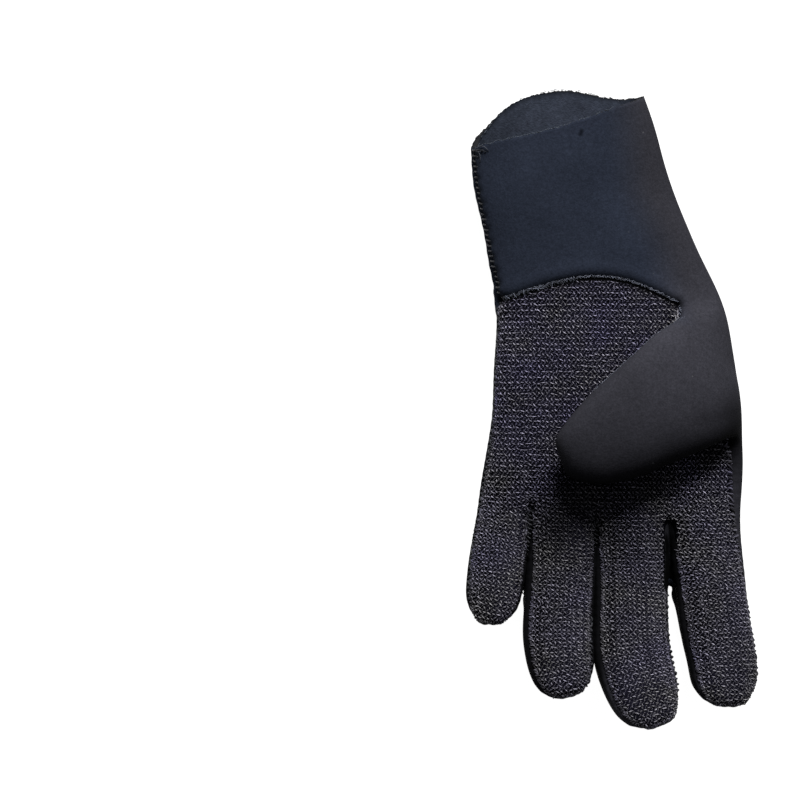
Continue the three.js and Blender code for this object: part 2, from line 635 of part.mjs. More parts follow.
// Draws the panel's edge back from its seams by half the gap. The hem itself isn't drawn back.
function seamPull(panelCells, surface, normals, hemEdges) {
  const directed = new Set();
  panelCells.forEach(({ corners }) => {
    corners.forEach((corner, i) => directed.add(`${corner}_${corners[(i + 1) % 4]}`));
  });
  const edges = [];
  const pulls = new Map();
  directed.forEach((key) => {
    const [from, to] = key.split("_").map(Number);
    if (directed.has(`${to}_${from}`)) {
      return;
    }
    edges.push([from, to]);
    if (hemEdges.has(key)) {
      return;
    }
    [from, to].forEach((corner) => {
      const along = surface[to].clone().sub(surface[from]).normalize();
      const inward = normals[corner].clone().cross(along).normalize();
      pulls.set(corner, [...(pulls.get(corner) || []), inward]);
    });
  });
  const shifts = new Map();
  pulls.forEach((inwards, corner) => {
    const mean = new THREE.Vector3();
    inwards.forEach((inward) => mean.add(inward));
    mean.normalize();
    const reach = Math.max(0.45, mean.dot(inwards[0]));
    shifts.set(corner, mean.multiplyScalar(SEAM_GAP / 2 / reach));
  });
  return { edges, shifts };
}

function hemEdgeKeys() {
  const directed = new Set();
  cells.forEach(({ corners }) => {
    corners.forEach((corner, i) => directed.add(`${corner}_${corners[(i + 1) % 4]}`));
  });
  const hem = new Set();
  directed.forEach((key) => {
    const [from, to] = key.split("_");
    if (!directed.has(`${to}_${from}`)) {
      hem.add(key);
    }
  });
  return hem;
}

// A panel as a solid: its outer face, the same face moved in by the wall, and the rim between them
function panelGeometry(panel, surface, normals, directions, hemEdges) {
  const panelCells = cells.filter((cell) => cell.panel === panel);
  const { edges, shifts } = seamPull(panelCells, surface, normals, hemEdges);
  const order = new Map();
  const outer = [];
  const inner = [];
  panelCells.forEach(({ corners }) => corners.forEach((corner) => {
    if (!order.has(corner)) {
      order.set(corner, outer.length);
      const point = surface[corner].clone();
      if (shifts.has(corner)) {
        point.add(shifts.get(corner));
      }
      point.z = Math.max(0, point.z);
      outer.push(point);
      inner.push(point.clone().addScaledVector(directions[corner], -WALL));
    }
  }));
  const vertices = [...outer, ...inner];
  const triangles = [];
  const addTwo = (a, b, c, d) => {
    const shortFirst = vertices[a].distanceTo(vertices[c]) <= vertices[b].distanceTo(vertices[d]);
    if (shortFirst) {
      triangles.push(a, b, c, a, c, d);
    } else {
      triangles.push(a, b, d, b, c, d);
    }
  };
  const inside = outer.length;
  panelCells.forEach(({ corners }) => {
    const [a, b, c, d] = corners.map((corner) => order.get(corner));
    addTwo(a, b, c, d);
    addTwo(inside + d, inside + c, inside + b, inside + a);
  });
  edges.forEach(([from, to]) => {
    const a = order.get(from);
    const b = order.get(to);
    addTwo(b, a, inside + a, inside + b);
  });
  const geometry = new THREE.BufferGeometry();
  const coordinates = vertices.flatMap((vertex) => vertex.toArray());
  geometry.setAttribute("position", new THREE.Float32BufferAttribute(coordinates, 3));
  geometry.setIndex(triangles);
  geometry.translate(-MIDDLE_X, -MIDDLE_Y, 0);
  geometry.computeVertexNormals();
  return geometry;
}

const panelLooks = [
  { name: "back_panel", colour: "#2a2c31", roughness: 0.85 },
  { name: "palm_panel", colour: "#302f38", roughness: 0.95 },
  { name: "middle_finger_back", colour: "#232427", roughness: 0.85 },
  { name: "ring_finger_back", colour: "#232427", roughness: 0.85 },
];

function buildGlove() {
  const handRings = buildHand();
  buildFingers(handRings);
  buildThumb(handRings);
  const surface = smoothedPoints();
  const normals = surfaceNormals(surface);
  const directions = wallDirections(normals);
  const hemEdges = hemEdgeKeys();
  const glove = new THREE.Group();
  panelLooks.forEach(({ name, colour, roughness }) => {
    const material = new THREE.MeshStandardMaterial({ color: colour, roughness, metalness: 0 });
    const mesh = new THREE.Mesh(panelGeometry(name, surface, normals, directions, hemEdges), material);
    mesh.name = name;
    glove.add(mesh);
  });
  return glove;
}

export default buildGlove();
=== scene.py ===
# %% [markdown]
# # A foam-rubber work glove with a knitted aramid palm
#
# The real glove is sewn from flat pieces. The back, the gauntlet, the side walls of the fingers and
# the outer half of the thumb are black neoprene, a foam rubber faced with fine jersey. The palm and
# the gripping faces are a coarse knit of aramid yarn. Two small neoprene pieces cover the backs of
# the middle and ring fingers, under an arched seam over the knuckles. It lies on its back, palm up,
# with the thumb folded over.
#
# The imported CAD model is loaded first. It is the fixed frame that everything here has to fit.

# %% Load the frame
import json

import bpy
import numpy as np
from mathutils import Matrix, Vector


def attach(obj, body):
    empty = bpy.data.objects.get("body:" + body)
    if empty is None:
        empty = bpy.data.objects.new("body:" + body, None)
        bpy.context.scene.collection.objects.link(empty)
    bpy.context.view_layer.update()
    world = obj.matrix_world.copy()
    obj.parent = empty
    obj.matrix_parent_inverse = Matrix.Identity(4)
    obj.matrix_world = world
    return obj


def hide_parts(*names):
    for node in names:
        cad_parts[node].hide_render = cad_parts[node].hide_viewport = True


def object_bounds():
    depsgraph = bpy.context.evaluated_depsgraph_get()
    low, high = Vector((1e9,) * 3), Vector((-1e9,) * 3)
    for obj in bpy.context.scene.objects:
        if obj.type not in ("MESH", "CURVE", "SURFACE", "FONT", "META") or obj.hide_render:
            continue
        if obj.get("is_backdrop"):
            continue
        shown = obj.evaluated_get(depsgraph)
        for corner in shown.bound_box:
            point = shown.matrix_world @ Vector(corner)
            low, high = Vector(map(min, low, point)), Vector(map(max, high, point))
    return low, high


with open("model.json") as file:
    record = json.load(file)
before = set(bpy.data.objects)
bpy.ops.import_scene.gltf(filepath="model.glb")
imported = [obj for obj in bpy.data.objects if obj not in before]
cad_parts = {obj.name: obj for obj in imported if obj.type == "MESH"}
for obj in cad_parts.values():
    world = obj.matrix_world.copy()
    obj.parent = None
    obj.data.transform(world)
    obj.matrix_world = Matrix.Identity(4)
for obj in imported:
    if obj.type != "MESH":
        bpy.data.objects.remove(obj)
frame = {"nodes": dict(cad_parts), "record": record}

cad_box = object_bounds()
record_type = frame["record"].get("type", "")
print("frame:", record_type, "with nodes", sorted(frame["nodes"]))

# %% [markdown]
# ## The pattern's sizes
#
# A sewn glove starts from its paper pattern. Here the pattern is a coarse net of four-sided cells:
# rings round the hand, four finger tubes that share the last ring, and a thumb tube that rises from
# the side of the hand. Short tables in millimetres hold that net, so that the visual surface lies on
# the CAD solids. A box model pushed about by hand could look as good, but nothing would keep it in
# the frame. The tables are drawn about the pattern's own zero, which lies MIDDLE_X and MIDDLE_Y away
# from the middle of the glove's box.

# %% Sizes of the net
MM = 0.001
WALL = 3.0
MIDDLE_X = -2.535
MIDDLE_Y = 1.636

FACE = 4
SIDE = 4
WRIST_ROW = 8
KNUCKLE_ARC_ROW = 12
CROTCH_ROW = 14
LAST_ROW = 18
THUMB_STRIPS = 2
PALM_COLUMNS = 4 * FACE
BACK_START = PALM_COLUMNS + SIDE
BACK_END = BACK_START + PALM_COLUMNS
RING_SIZE = BACK_END + SIDE

PANELS = ("back_panel", "palm_panel", "middle_finger_back", "ring_finger_back")
BACK, PALM, MIDDLE_BACK, RING_BACK = range(4)
print("a ring of the hand has", RING_SIZE, "cells,", PALM_COLUMNS, "of them on the palm side")


# %% [markdown]
# ## Reading a table as a smooth curve
#
# A pattern cutter marks a few widths and joins them with a curved rule. `curve_through` does the
# same: a cubic between two rows, which leaves each row in the direction of its two neighbours.
# Straight joins would show as kinks at every row. The small helpers after it are used all through.

# %% Curves and small helpers
def curve_through(table, names, column, place):
    """Cubic curve through a table's rows. Its slope at a row is that of the straight line from the
    row before to the row after. The first column of the table says where each row stands."""
    rows = np.array(table, float)
    x = rows[:, 0]
    y = rows[:, names.index(column)]
    last = len(x) - 1
    before = np.maximum(np.arange(last + 1) - 1, 0)
    after = np.minimum(np.arange(last + 1) + 1, last)
    slope = (y[after] - y[before]) / (x[after] - x[before])
    place = np.asarray(place, float)
    i = np.clip(np.searchsorted(x, place, side="left") - 1, 0, last - 1)
    span = x[i + 1] - x[i]
    t = np.clip((place - x[i]) / span, 0, 1)
    return ((2 * t**3 - 3 * t**2 + 1) * y[i] + (t**3 - 2 * t**2 + t) * span * slope[i]
            + (3 * t**2 - 2 * t**3) * y[i + 1] + (t**3 - t**2) * span * slope[i + 1])


def mix(first, second, share):
    """A value that goes straight from first to second as share goes from 0 to 1."""
    return first + (second - first) * share


def smooth_step(value):
    """Rises from 0 to 1 with level ends: three squares less two cubes."""
    value = np.clip(value, 0, 1)
    return value**2 * (3 - 2 * value)


def rising(value, start, span):
    """Goes smoothly from 0 at the start to 1 a span further on. A span below zero runs downward."""
    return smooth_step((value - start) / span)


def signed_power(value, power):
    """The power of a number's size, with the number's own sign."""
    return np.sign(value) * np.abs(value)**power


def unit(vectors):
    """Vectors of length one, along the last axis."""
    return vectors / np.maximum(np.linalg.norm(vectors, axis=-1, keepdims=True), 1e-12)


def stack(*parts):
    """Joins x, y and z arrays into one array of points."""
    return np.stack(np.broadcast_arrays(*parts), axis=-1)


def walked_along(line):
    """Distance walked along a line of points: the lengths of its steps, added up."""
    return np.concatenate([[0], np.cumsum(np.linalg.norm(np.diff(line, axis=0), axis=1))])


def bell(distance, width):
    """A bell curve: one where the distance is nothing, and e to the minus one at the width."""
    return np.exp(-(distance / width)**2)


def by_name(columns, row):
    """A table's row as a dictionary of column names and values."""
    return dict(zip(columns, row))


print("a bell curve at half its width:", round(float(bell(0.5, 1.0)), 3))


# %% [markdown]
# ## The hand
#
# One ring of the hand is a flattened oval, boxier below, where the glove lies on the table, than
# above. It is a function of two parameters: the row along the hand and the column round it. The
# rows bow toward the hem on the palm for the curved wrist seam, and dip between the fingers. The
# whole grid is worked out at once. A lofted tube of plain ovals would have no corners for the side
# walls and no flat back to lie on.

# %% The hand's tables
PALM_ROUNDNESS = 2.6
BACK_ROUNDNESS = 3.0
BACK_CORNER_INSET = 6.5

HAND_COLUMNS = ("row", "left_x", "left_y", "right_x", "right_y", "seam_left", "seam_right",
                "palm_z", "side_z", "palm_bow", "hem_bow", "arch", "knuckle")
HAND_ROWS = [
    (0, -60.0, 106.9, 12.4, 126.6, 0.2, 14.0, 30.0, 15.0, -2.0, 17.0, 0.0, 0.0),
    (2, -58.4, 91.2, 19.2, 106.0, 0.2, 15.0, 29.0, 14.5, -1.5, 12.0, 0.0, 0.0),
    (4, -55.5, 75.5, 26.2, 84.1, 0.2, 16.0, 28.0, 14.0, 1.0, 8.0, 0.0, 0.0),
    (6, -52.2, 60.2, 35.4, 64.2, 0.2, 18.0, 27.0, 13.5, 5.0, 4.0, 0.0, 0.0),
    (8, -48.5, 44.9, 45.6, 42.6, 0.2, 21.8, 26.0, 13.5, 10.3, 2.0, 0.05, 0.0),
    (10, -49.8, 24.3, 49.8, 23.0, 0.2, 21.5, 25.0, 13.0, 7.0, 0.0, 0.45, 0.0),
    (12, -50.6, 3.6, 52.4, 4.0, 0.2, 17.0, 24.5, 13.0, 3.0, 0.0, 1.0, 0.0),
    (14, -52.7, -16.2, 53.6, -15.0, 0.2, 7.8, 24.5, 12.5, 0.0, 0.0, 0.66, 0.33),
    (16, -54.9, -29.0, 53.1, -27.5, 0.2, 6.0, 24.5, 12.0, 0.0, 0.0, 0.33, 0.67),
    (18, -56.8, -41.0, 52.2, -39.8, 0.2, 4.0, 23.5, 12.0, 0.0, 0.0, 0.0, 1.0),
]

PART_COLUMNS = ("palm_share", "palm_shift", "back_share", "back_shift")
FINGER_PARTS = [
    (0.0, 0.0, 0.0, -3.0),
    (0.205, 3.0, 0.132, -34.0),
    (0.461, -5.0, 0.438, -25.0),
    (0.744, -4.5, 0.764, -32.0),
    (1.0, 0.0, 1.0, -3.0),
]
MID_FINGER_PALM_SHIFT = -3.0
MID_FINGER_BACK_SHIFT = -15.0
GROOVE = 4.0
GROOVE_HALF_WIDTH = 7.0
ARCH_DROP = 15.0
ARCH_RISE = 20.0

HEM_ARC_COLUMNS = ("share", "bow")
HEM_ARC = [(0.0, 0.5), (0.1, 0.8), (0.25, 0.98), (0.4, 0.98), (0.6, 0.84), (0.8, 0.52), (1.0, 0.25)]
PALM_BOW_SKEW = 1.2
BACK_SINK = 0.8
ARCH_EDGE = 0.25
CROWN_POWER = 0.65
print("wall is", WALL, "mm, hem at Y", curve_through(HAND_ROWS, HAND_COLUMNS, "left_y", 0.0), "mm")


# %% The hand's grid of points
def column_share(column, row, name):
    """The share of the hand's width at a column: even strips at the hem, the fingers' own widths at
    the last row, and a smooth change between."""
    shares = [part[PART_COLUMNS.index(name)] for part in FINGER_PARTS]
    parted = np.interp(column / FACE, np.arange(len(shares)), shares)
    change = smooth_step((row - WRIST_ROW + 4) / (LAST_ROW - WRIST_ROW + 4))
    return mix(column / PALM_COLUMNS, parted, change)


def part_shift(column, name, mid_shift):
    """How far a column lies along Y from the straight row: the parting points' own shift, swung
    through the middle of each finger by a squared sine."""
    shifts = [part[PART_COLUMNS.index(name)] for part in FINGER_PARTS]
    straight = np.interp(column / FACE, np.arange(len(shifts)), shifts)
    return mix(straight, mid_shift, np.sin(np.pi * (column / FACE % 1.0))**2)


def groove_depth(x, row, parting_x):
    """Depth of the grooves between the fingers: a bell curve across each, deeper toward the last row."""
    fade = np.clip((row - CROTCH_ROW + 1) / (LAST_ROW - CROTCH_ROW + 1), 0, 1)**2
    nearest = np.min([np.abs(x - middle) for middle in parting_x], axis=0)
    return GROOVE * fade * bell(nearest, GROOVE_HALF_WIDTH)


def hand_grid():
    """Points by row and column. Each row is a superellipse: height goes with a power of the sine of
    the angle whose cosine, to the matching power, is the place across the hand. The back sinks a
    little below the table's level, so that it lies on a flat once it is held above it."""
    row = np.arange(LAST_ROW + 1, dtype=float)[:, None]
    value = {name: curve_through(HAND_ROWS, HAND_COLUMNS, name, row) for name in HAND_COLUMNS[1:]}
    left, right = value["left_x"], value["right_x"]
    middle, half = (left + right) / 2, (right - left) / 2

    def row_y(x):
        return mix(value["left_y"], value["right_y"], (x - left) / (right - left))

    def angle_at(x, roundness):
        return np.arccos(signed_power(np.clip((x - middle) / half, -1, 1), roundness / 2))

    def palm_height(angle):
        rise = np.abs(np.sin(angle))**(2 / PALM_ROUNDNESS)
        return value["side_z"] + (value["palm_z"] - value["side_z"]) * rise

    def back_height(angle):
        return value["side_z"] - (value["side_z"] + BACK_SINK) * np.abs(np.sin(angle))**(2 / BACK_ROUNDNESS)

    palm_left, palm_right = left + value["seam_left"], right - value["seam_right"]
    back_left, back_right = left + BACK_CORNER_INSET, right - BACK_CORNER_INSET

    def parting_x(from_x, to_x, name):
        return [mix(from_x, to_x, column_share(part * FACE, row, name)) for part in (1, 2, 3)]

    def palm_points(column):
        share = column_share(column, row, "palm_share")
        x = mix(palm_left, palm_right, share)
        bow = value["palm_bow"] * np.sin(np.pi * share**PALM_BOW_SKEW)
        parting = value["knuckle"] * part_shift(column, "palm_shift", MID_FINGER_PALM_SHIFT)
        groove = groove_depth(x, row, parting_x(palm_left, palm_right, "palm_share"))
        return stack(x, row_y(x) + bow + parting, palm_height(angle_at(x, PALM_ROUNDNESS)) - groove)

    def back_points(from_left):
        share = column_share(from_left, row, "back_share")
        x = mix(back_left, back_right, share)
        hem = value["hem_bow"] * curve_through(HEM_ARC, HEM_ARC_COLUMNS, "bow", share)
        strip = from_left / PALM_COLUMNS
        edge = smooth_step(np.minimum(strip, 1 - strip) / ARCH_EDGE)
        crown = np.sin(np.pi * np.clip((strip - ARCH_EDGE) / (1 - 2 * ARCH_EDGE), 0, 1))**CROWN_POWER
        arch = value["arch"] * (ARCH_RISE * crown - ARCH_DROP * edge)
        parting = value["knuckle"] * part_shift(from_left, "back_shift", MID_FINGER_BACK_SHIFT)
        groove = groove_depth(x, row, parting_x(back_left, back_right, "back_share"))
        return stack(x, row_y(x) + hem + arch + parting, back_height(angle_at(x, BACK_ROUNDNESS)) + groove)

    def side_points(palm_corner, back_corner, share, sign):
        top = angle_at(palm_corner[..., 0], PALM_ROUNDNESS)
        bottom = angle_at(back_corner[..., 0], BACK_ROUNDNESS)
        if sign < 0:
            top, bottom = np.pi - top, np.pi - bottom
        turn = mix(top, -bottom, share)
        above = turn > 0
        reach = half * np.abs(np.cos(turn))**(2 / np.where(above, PALM_ROUNDNESS, BACK_ROUNDNESS))
        x = middle + sign * reach
        z = np.where(above, palm_height(turn), back_height(turn))
        palm_off = palm_corner[..., 1] - row_y(palm_corner[..., 0])
        back_off = back_corner[..., 1] - row_y(back_corner[..., 0])
        return stack(x, row_y(x) + mix(palm_off, back_off, smooth_step(share)), z)

    palm = palm_points(np.arange(PALM_COLUMNS + 1.0)[None, :])
    back = back_points(np.arange(PALM_COLUMNS, -1.0, -1.0)[None, :])
    share = np.arange(1.0, SIDE)[None, :] / SIDE
    index_side = side_points(palm[:, -1:], back[:, :1], share, 1)
    little_side = side_points(palm[:, :1], back[:, -1:], 1 - share, -1)
    return np.concatenate([palm, index_side, back, little_side], axis=1)


hand_points = hand_grid()
print("hand grid:", hand_points.shape[:2], "points,", np.ptp(hand_points[..., 0]).round(1), "mm wide")


# %% [markdown]
# ## One net for the whole glove
#
# The fingers and the thumb grow out of the hand's rings, so all points go into one list, and every
# cell of the net names its four points. Separate tubes pushed into the hand would cross it and
# leave a crease at every root. A sewn glove has soft webs there.

# %% The net's lists, and a closed tip for a tube
net_points = []
net_cells = []
net_labels = []


def add_points(points):
    """Adds an array of points and returns their numbers, in the array's own shape."""
    flat = np.asarray(points, float).reshape(-1, 3)
    start = sum(len(block) for block in net_points)
    net_points.append(flat)
    return start + np.arange(len(flat)).reshape(np.shape(points)[:-1])


def point_at(numbers):
    """The points with these numbers."""
    return np.concatenate(net_points)[numbers]


def add_cells(a, b, c, d, label):
    """Adds a cell for each set of four numbers, with the label of the sewn piece it belongs to."""
    cells = np.stack(np.broadcast_arrays(a, b, c, d), axis=-1).reshape(-1, 4)
    net_cells.append(cells)
    net_labels.append(np.broadcast_to(label, np.shape(a)).reshape(-1))


def close_tip(ring, face_cells, side_cells, push, label, turned):
    """Closes a tube with a patch between the two long runs of its last ring. An inner point is the
    mean of its two straight joins, pushed out by a product of two parabolas."""
    size = len(ring)
    i = np.arange(face_cells + 1)
    j = np.arange(side_cells + 1)
    grid = np.zeros((side_cells + 1, face_cells + 1), int)
    grid[0] = ring[i]
    grid[-1] = ring[2 * face_cells + side_cells - i]
    grid[:, 0] = ring[(size - j) % size]
    grid[:, -1] = ring[face_cells + j]
    u = (i[1:-1] / face_cells)[None, :, None]
    v = (j[1:-1] / side_cells)[:, None, None]
    along = mix(point_at(grid[0, 1:-1])[None], point_at(grid[-1, 1:-1])[None], v)
    across = mix(point_at(grid[1:-1, 0])[:, None], point_at(grid[1:-1, -1])[:, None], u)
    bulge = 16 * u * (1 - u) * v * (1 - v)
    grid[1:-1, 1:-1] = add_points(mix(along, across, 0.5) + push * (0.5 + 0.5 * bulge))
    corners = [grid[:-1, :-1], grid[1:, :-1], grid[1:, 1:], grid[:-1, 1:]]
    add_cells(*(corners[::-1] if turned else corners), label)


def section_angles(face_cells, side_cells, face_left, face_right, back_angle):
    """Turns round a section in the order face, side, back, side, from its right-hand end."""
    runs = [(180 - face_left, face_right, face_cells), (face_right, -back_angle, side_cells),
            (-back_angle, back_angle - 180, face_cells), (back_angle - 180, -180 - face_left, side_cells)]
    return np.radians(np.concatenate([mix(a, b, np.arange(n) / n) for a, b, n in runs]))


# %% [markdown]
# The hand's rings become cells now. A few rows at its side stay open, because the thumb's tube starts
# from the edge of that opening. Each cell is labelled with the sewn piece that it belongs to.

# %% The hand's cells
row_number, column_number = np.meshgrid(np.arange(LAST_ROW + 1), np.arange(RING_SIZE), indexing="ij")
in_thumb_hole = ((row_number > WRIST_ROW) & (row_number < CROTCH_ROW)
                 & (column_number > PALM_COLUMNS) & (column_number < PALM_COLUMNS + THUMB_STRIPS))
hand_net = np.full(in_thumb_hole.shape, -1)
hand_net[~in_thumb_hole] = add_points(hand_points[~in_thumb_hole])

cell_row, cell_column = row_number[:-1], column_number[:-1]
thumb_cells = ((cell_row >= WRIST_ROW) & (cell_row < CROTCH_ROW)
               & (cell_column >= PALM_COLUMNS) & (cell_column < PALM_COLUMNS + THUMB_STRIPS))
on_palm = cell_column < PALM_COLUMNS
back_strip = (cell_column - BACK_START) // FACE
hand_labels = np.select(
    [on_palm & (cell_row >= WRIST_ROW), on_palm, (cell_row >= KNUCKLE_ARC_ROW) & (back_strip == 1),
     (cell_row >= KNUCKLE_ARC_ROW) & (back_strip == 2)],
    [PALM, BACK, MIDDLE_BACK, RING_BACK], BACK)
next_column = np.roll(hand_net, -1, axis=1)
kept = ~thumb_cells
add_cells(hand_net[:-1][kept], hand_net[1:][kept], next_column[1:][kept], next_column[:-1][kept],
          hand_labels[kept])
print("hand cells:", len(net_cells[0]))


# %% [markdown]
# ## The fingers
#
# A finger is a boxy tube along a middle line that rises toward the tip. The foam side walls are part
# of the back piece, and the knitted face lies on top between them. Each strip of the tube starts
# where the hand leaves off, further along on the back than on the palm, and the shape of its base
# fades out by half way. Near the tip the section shrinks along a rounded curve, and the gripping
# face runs on past the back, which is drawn up to meet it. A row of the table is a station on the
# middle line: its place, the width and depth there, and how far the finger leans over in degrees.

# %% The fingers' tables
FINGER_COLUMNS = ("at", "x", "y", "z", "width", "depth", "lean")
FINGERS = [
    {"name": "little", "panel": "back_panel", "rings": 5, "face_left": 20, "face_right": 20,
     "line": [
         (0.0, -45.1, -37.8, 12.0, 24.0, 20.0, 0),
         (0.37, -48.2, -56.4, 13.0, 23.0, 19.5, 0),
         (0.7, -50.2, -72.0, 17.5, 23.0, 19.0, 1),
         (1.0, -52.8, -87.0, 22.5, 21.5, 18.0, 2)]},
    {"name": "ring", "panel": "ring_finger_back", "rings": 8, "face_left": 34, "face_right": 28,
     "line": [
         (0.0, -20.7, -41.9, 12.0, 26.5, 21.0, 0),
         (0.33, -22.2, -66.7, 13.0, 27.2, 20.5, 0),
         (0.64, -24.3, -90.0, 17.5, 28.6, 20.0, 1),
         (0.85, -23.4, -105.0, 22.5, 27.0, 19.0, 2),
         (1.0, -21.0, -116.2, 26.0, 25.5, 18.0, 3)]},
    {"name": "middle", "panel": "middle_finger_back", "rings": 9, "face_left": 34, "face_right": 20,
     "line": [
         (0.0, 7.5, -42.8, 12.0, 28.5, 21.5, 0),
         (0.28, 6.8, -66.7, 13.0, 29.6, 21.0, 0),
         (0.51, 5.7, -87.0, 17.0, 30.2, 20.5, 2),
         (0.7, 6.2, -102.0, 21.5, 31.2, 20.0, 4),
         (0.88, 10.0, -116.6, 27.5, 30.0, 19.0, 8),
         (1.0, 16.0, -126.8, 31.0, 28.0, 18.0, 10)]},
    {"name": "index", "panel": "back_panel", "rings": 8, "face_left": 34, "face_right": 12,
     "line": [
         (0.0, 37.6, -39.9, 12.0, 29.0, 21.5, 0),
         (0.32, 38.4, -66.7, 13.0, 28.4, 20.5, 0),
         (0.57, 40.3, -87.0, 17.0, 28.9, 20.0, 1),
         (0.78, 42.5, -103.5, 22.0, 28.5, 19.0, 3),
         (1.0, 43.8, -119.4, 27.0, 26.5, 18.0, 4)]},
]
FINGER_BACK_ANGLE = 40
FINGER_ROUNDNESS = 3.2
LOOK_AHEAD = 0.02
TIP_RADIUS = 13.0
TIP_RING_PLACES = (0.62, 0.3, 0.1)
TIP_LEAD = 4.5
TIP_LEAD_POWER = 1.5
TIP_BULGE = 0.12 * TIP_RADIUS
BASE_FADE = 0.5
BASE_FADE_POWER = 1.5
LAST_START = 0.7
TIP_FULLNESS = 2.4
NARROWEST_TIP = 0.3
WEB_PROFILE = [(0.25, 0.48), (0.5, 0.85), (0.75, 1.06)]
print("longest finger:", max(FINGERS, key=lambda finger: finger["rings"])["name"])


# %% The fingers' tubes
def finger_tube(finger, base):
    """Rings of points by step and place round the section, for the body and the tip of a finger, the
    push that rounds its end, and how far along the cloth each point of the rings lies."""
    line = finger["line"]

    def value(name, at):
        return curve_through(line, FINGER_COLUMNS, name, at)

    def centre(at):
        return stack(value("x", at), value("y", at), value("z", at))

    length = np.linalg.norm(centre(0) - centre(0.5)) + np.linalg.norm(centre(0.5) - centre(1))
    tip_share = TIP_RADIUS / length
    angles = section_angles(FACE, SIDE, finger["face_left"], finger["face_right"], FINGER_BACK_ANGLE)

    def frame_at(at):
        ahead = unit(centre(np.minimum(1, at + LOOK_AHEAD)) - centre(np.maximum(0, at - LOOK_AHEAD)))
        up = unit(np.array([0, 0, 1.0]) - ahead * ahead[..., 2:])
        across = np.cross(up, ahead)
        lean = np.radians(value("lean", at))[..., None]
        return ahead, up * np.cos(lean) + across * np.sin(lean), across * np.cos(lean) - up * np.sin(lean)

    def section_point(at):
        left = np.clip((1 - at) / tip_share, 0, 1)
        taper = np.maximum(NARROWEST_TIP, (1 - (1 - left)**TIP_FULLNESS)**(1 / TIP_FULLNESS))
        ahead, up, across = frame_at(at)
        out = signed_power(np.cos(angles), 2 / FINGER_ROUNDNESS)
        rise = signed_power(np.sin(angles), 2 / FINGER_ROUNDNESS)
        return (centre(at) + ahead * (rise * TIP_LEAD * (1 - left)**TIP_LEAD_POWER)[..., None]
                + across * (out * taper * value("width", at) / 2)[..., None]
                + up * (rise * taper * value("depth", at) / 2)[..., None])

    corners = point_at(base)
    reach = centre(0)[1] - centre(1)[1]
    starts = np.clip((centre(0)[1] - corners[:, 1]) / reach, 0, LAST_START)
    step = (np.arange(1, finger["rings"] + 1) / finger["rings"])[:, None]
    body_at = mix(starts, 1 - tip_share, step)
    fade = (1 - np.clip(step / BASE_FADE, 0, 1))**BASE_FADE_POWER
    body = section_point(body_at) + (corners - section_point(starts)) * fade[..., None]
    tip_at = np.repeat(1 - np.array(TIP_RING_PLACES)[:, None] * tip_share, len(base), axis=1)
    push = frame_at(np.array(1.0))[0] * TIP_BULGE
    at = np.concatenate([body_at, tip_at])
    samples = np.linspace(0, 1, 201)
    walked = np.interp(at, samples, walked_along(centre(samples)))
    lead = TIP_LEAD * np.clip(1 - (1 - at) / tip_share, 0, 1)**TIP_LEAD_POWER
    rings = np.concatenate([body, section_point(tip_at)])
    return rings, push, centre(0)[1] - walked - lead


# %% [markdown]
# Between two fingers the knit of the palm and the foam of the back meet in a short web: a line of
# three points from the palm side down to the back, bowed toward the fingertips.

# %% Webs and fingers
last_ring = hand_net[LAST_ROW]
webs = []
for part in (1, 2, 3):
    top = point_at(last_ring[part * FACE])
    bottom = point_at(last_ring[BACK_END - part * FACE])
    down, out = np.array(WEB_PROFILE).T
    webs.append(add_points(stack(mix(top[0], bottom[0], out), mix(top[1], bottom[1], out),
                                 mix(top[2], bottom[2], down))))

finger_nets = []
for order, finger in enumerate(FINGERS):
    face = last_ring[order * FACE:(order + 1) * FACE + 1]
    back = last_ring[BACK_END - (order + 1) * FACE:BACK_END - order * FACE + 1]
    right_wall = last_ring[PALM_COLUMNS + 1:BACK_START] if order == 3 else webs[order]
    left_wall = last_ring[BACK_END + 1:] if order == 0 else webs[order - 1][::-1]
    base = np.concatenate([face, right_wall, back, left_wall])
    rings, push, cloth_y = finger_tube(finger, base)
    net = np.concatenate([base[None], add_points(rings)])
    around = np.roll(net, -1, axis=1)
    label = np.where(np.arange(len(base)) < FACE, PALM, PANELS.index(finger["panel"]))
    add_cells(net[:-1], net[1:], around[1:], around[:-1], np.broadcast_to(label, net[1:].shape))
    close_tip(net[-1], FACE, SIDE, push, PANELS.index(finger["panel"]), False)
    finger_nets.append((net, cloth_y))
print("fingers:", [finger["name"] for finger in FINGERS])


# %% [markdown]
# ## The thumb
#
# The thumb rises from an opening in the side of the hand and turns over the palm, so its sections
# stand up at the root and lie flat at the tip. The stations in the table give its two edges, and the
# turn of the section between them. The half that looks at the palm is knit, the other half foam.
# A straight thumb bent over with bones would pinch at its root, where the real one is cut to fold.

# %% The thumb's stations
THUMB_COLUMNS = ("at", "wrist_x", "wrist_y", "wrist_z", "crotch_x", "crotch_y", "crotch_z",
                 "turn", "depth", "roundness")
THUMB_STATIONS = [
    (0, 33.6, 41.0, 19.0, 49.3, -13.9, 17.0, -25, 15, 2.0),
    (1, 29.0, 38.0, 28.0, 46.5, -9.5, 23.5, 5, 15, 2.0),
    (2, 20.5, 35.0, 33.5, 40.5, -13.0, 31.5, 44, 17, 2.1),
    (3, 9.5, 27.0, 37.5, 29.0, -18.6, 34.5, 76, 18.5, 2.2),
    (4, -2.0, 16.5, 40.5, 15.5, -24.8, 34.5, 90, 19, 2.2),
    (5, -13.0, 6.0, 41.0, 2.0, -29.2, 34.3, 95, 19, 2.2),
    (6, -21.5, -2.5, 40.0, -9.5, -31.2, 33.8, 97, 18.5, 2.2),
    (7, -26.2, -10.2, 38.0, -19.5, -28.5, 33.5, 98, 15, 2.2),
]
THUMB_FACE_ANGLE = 30
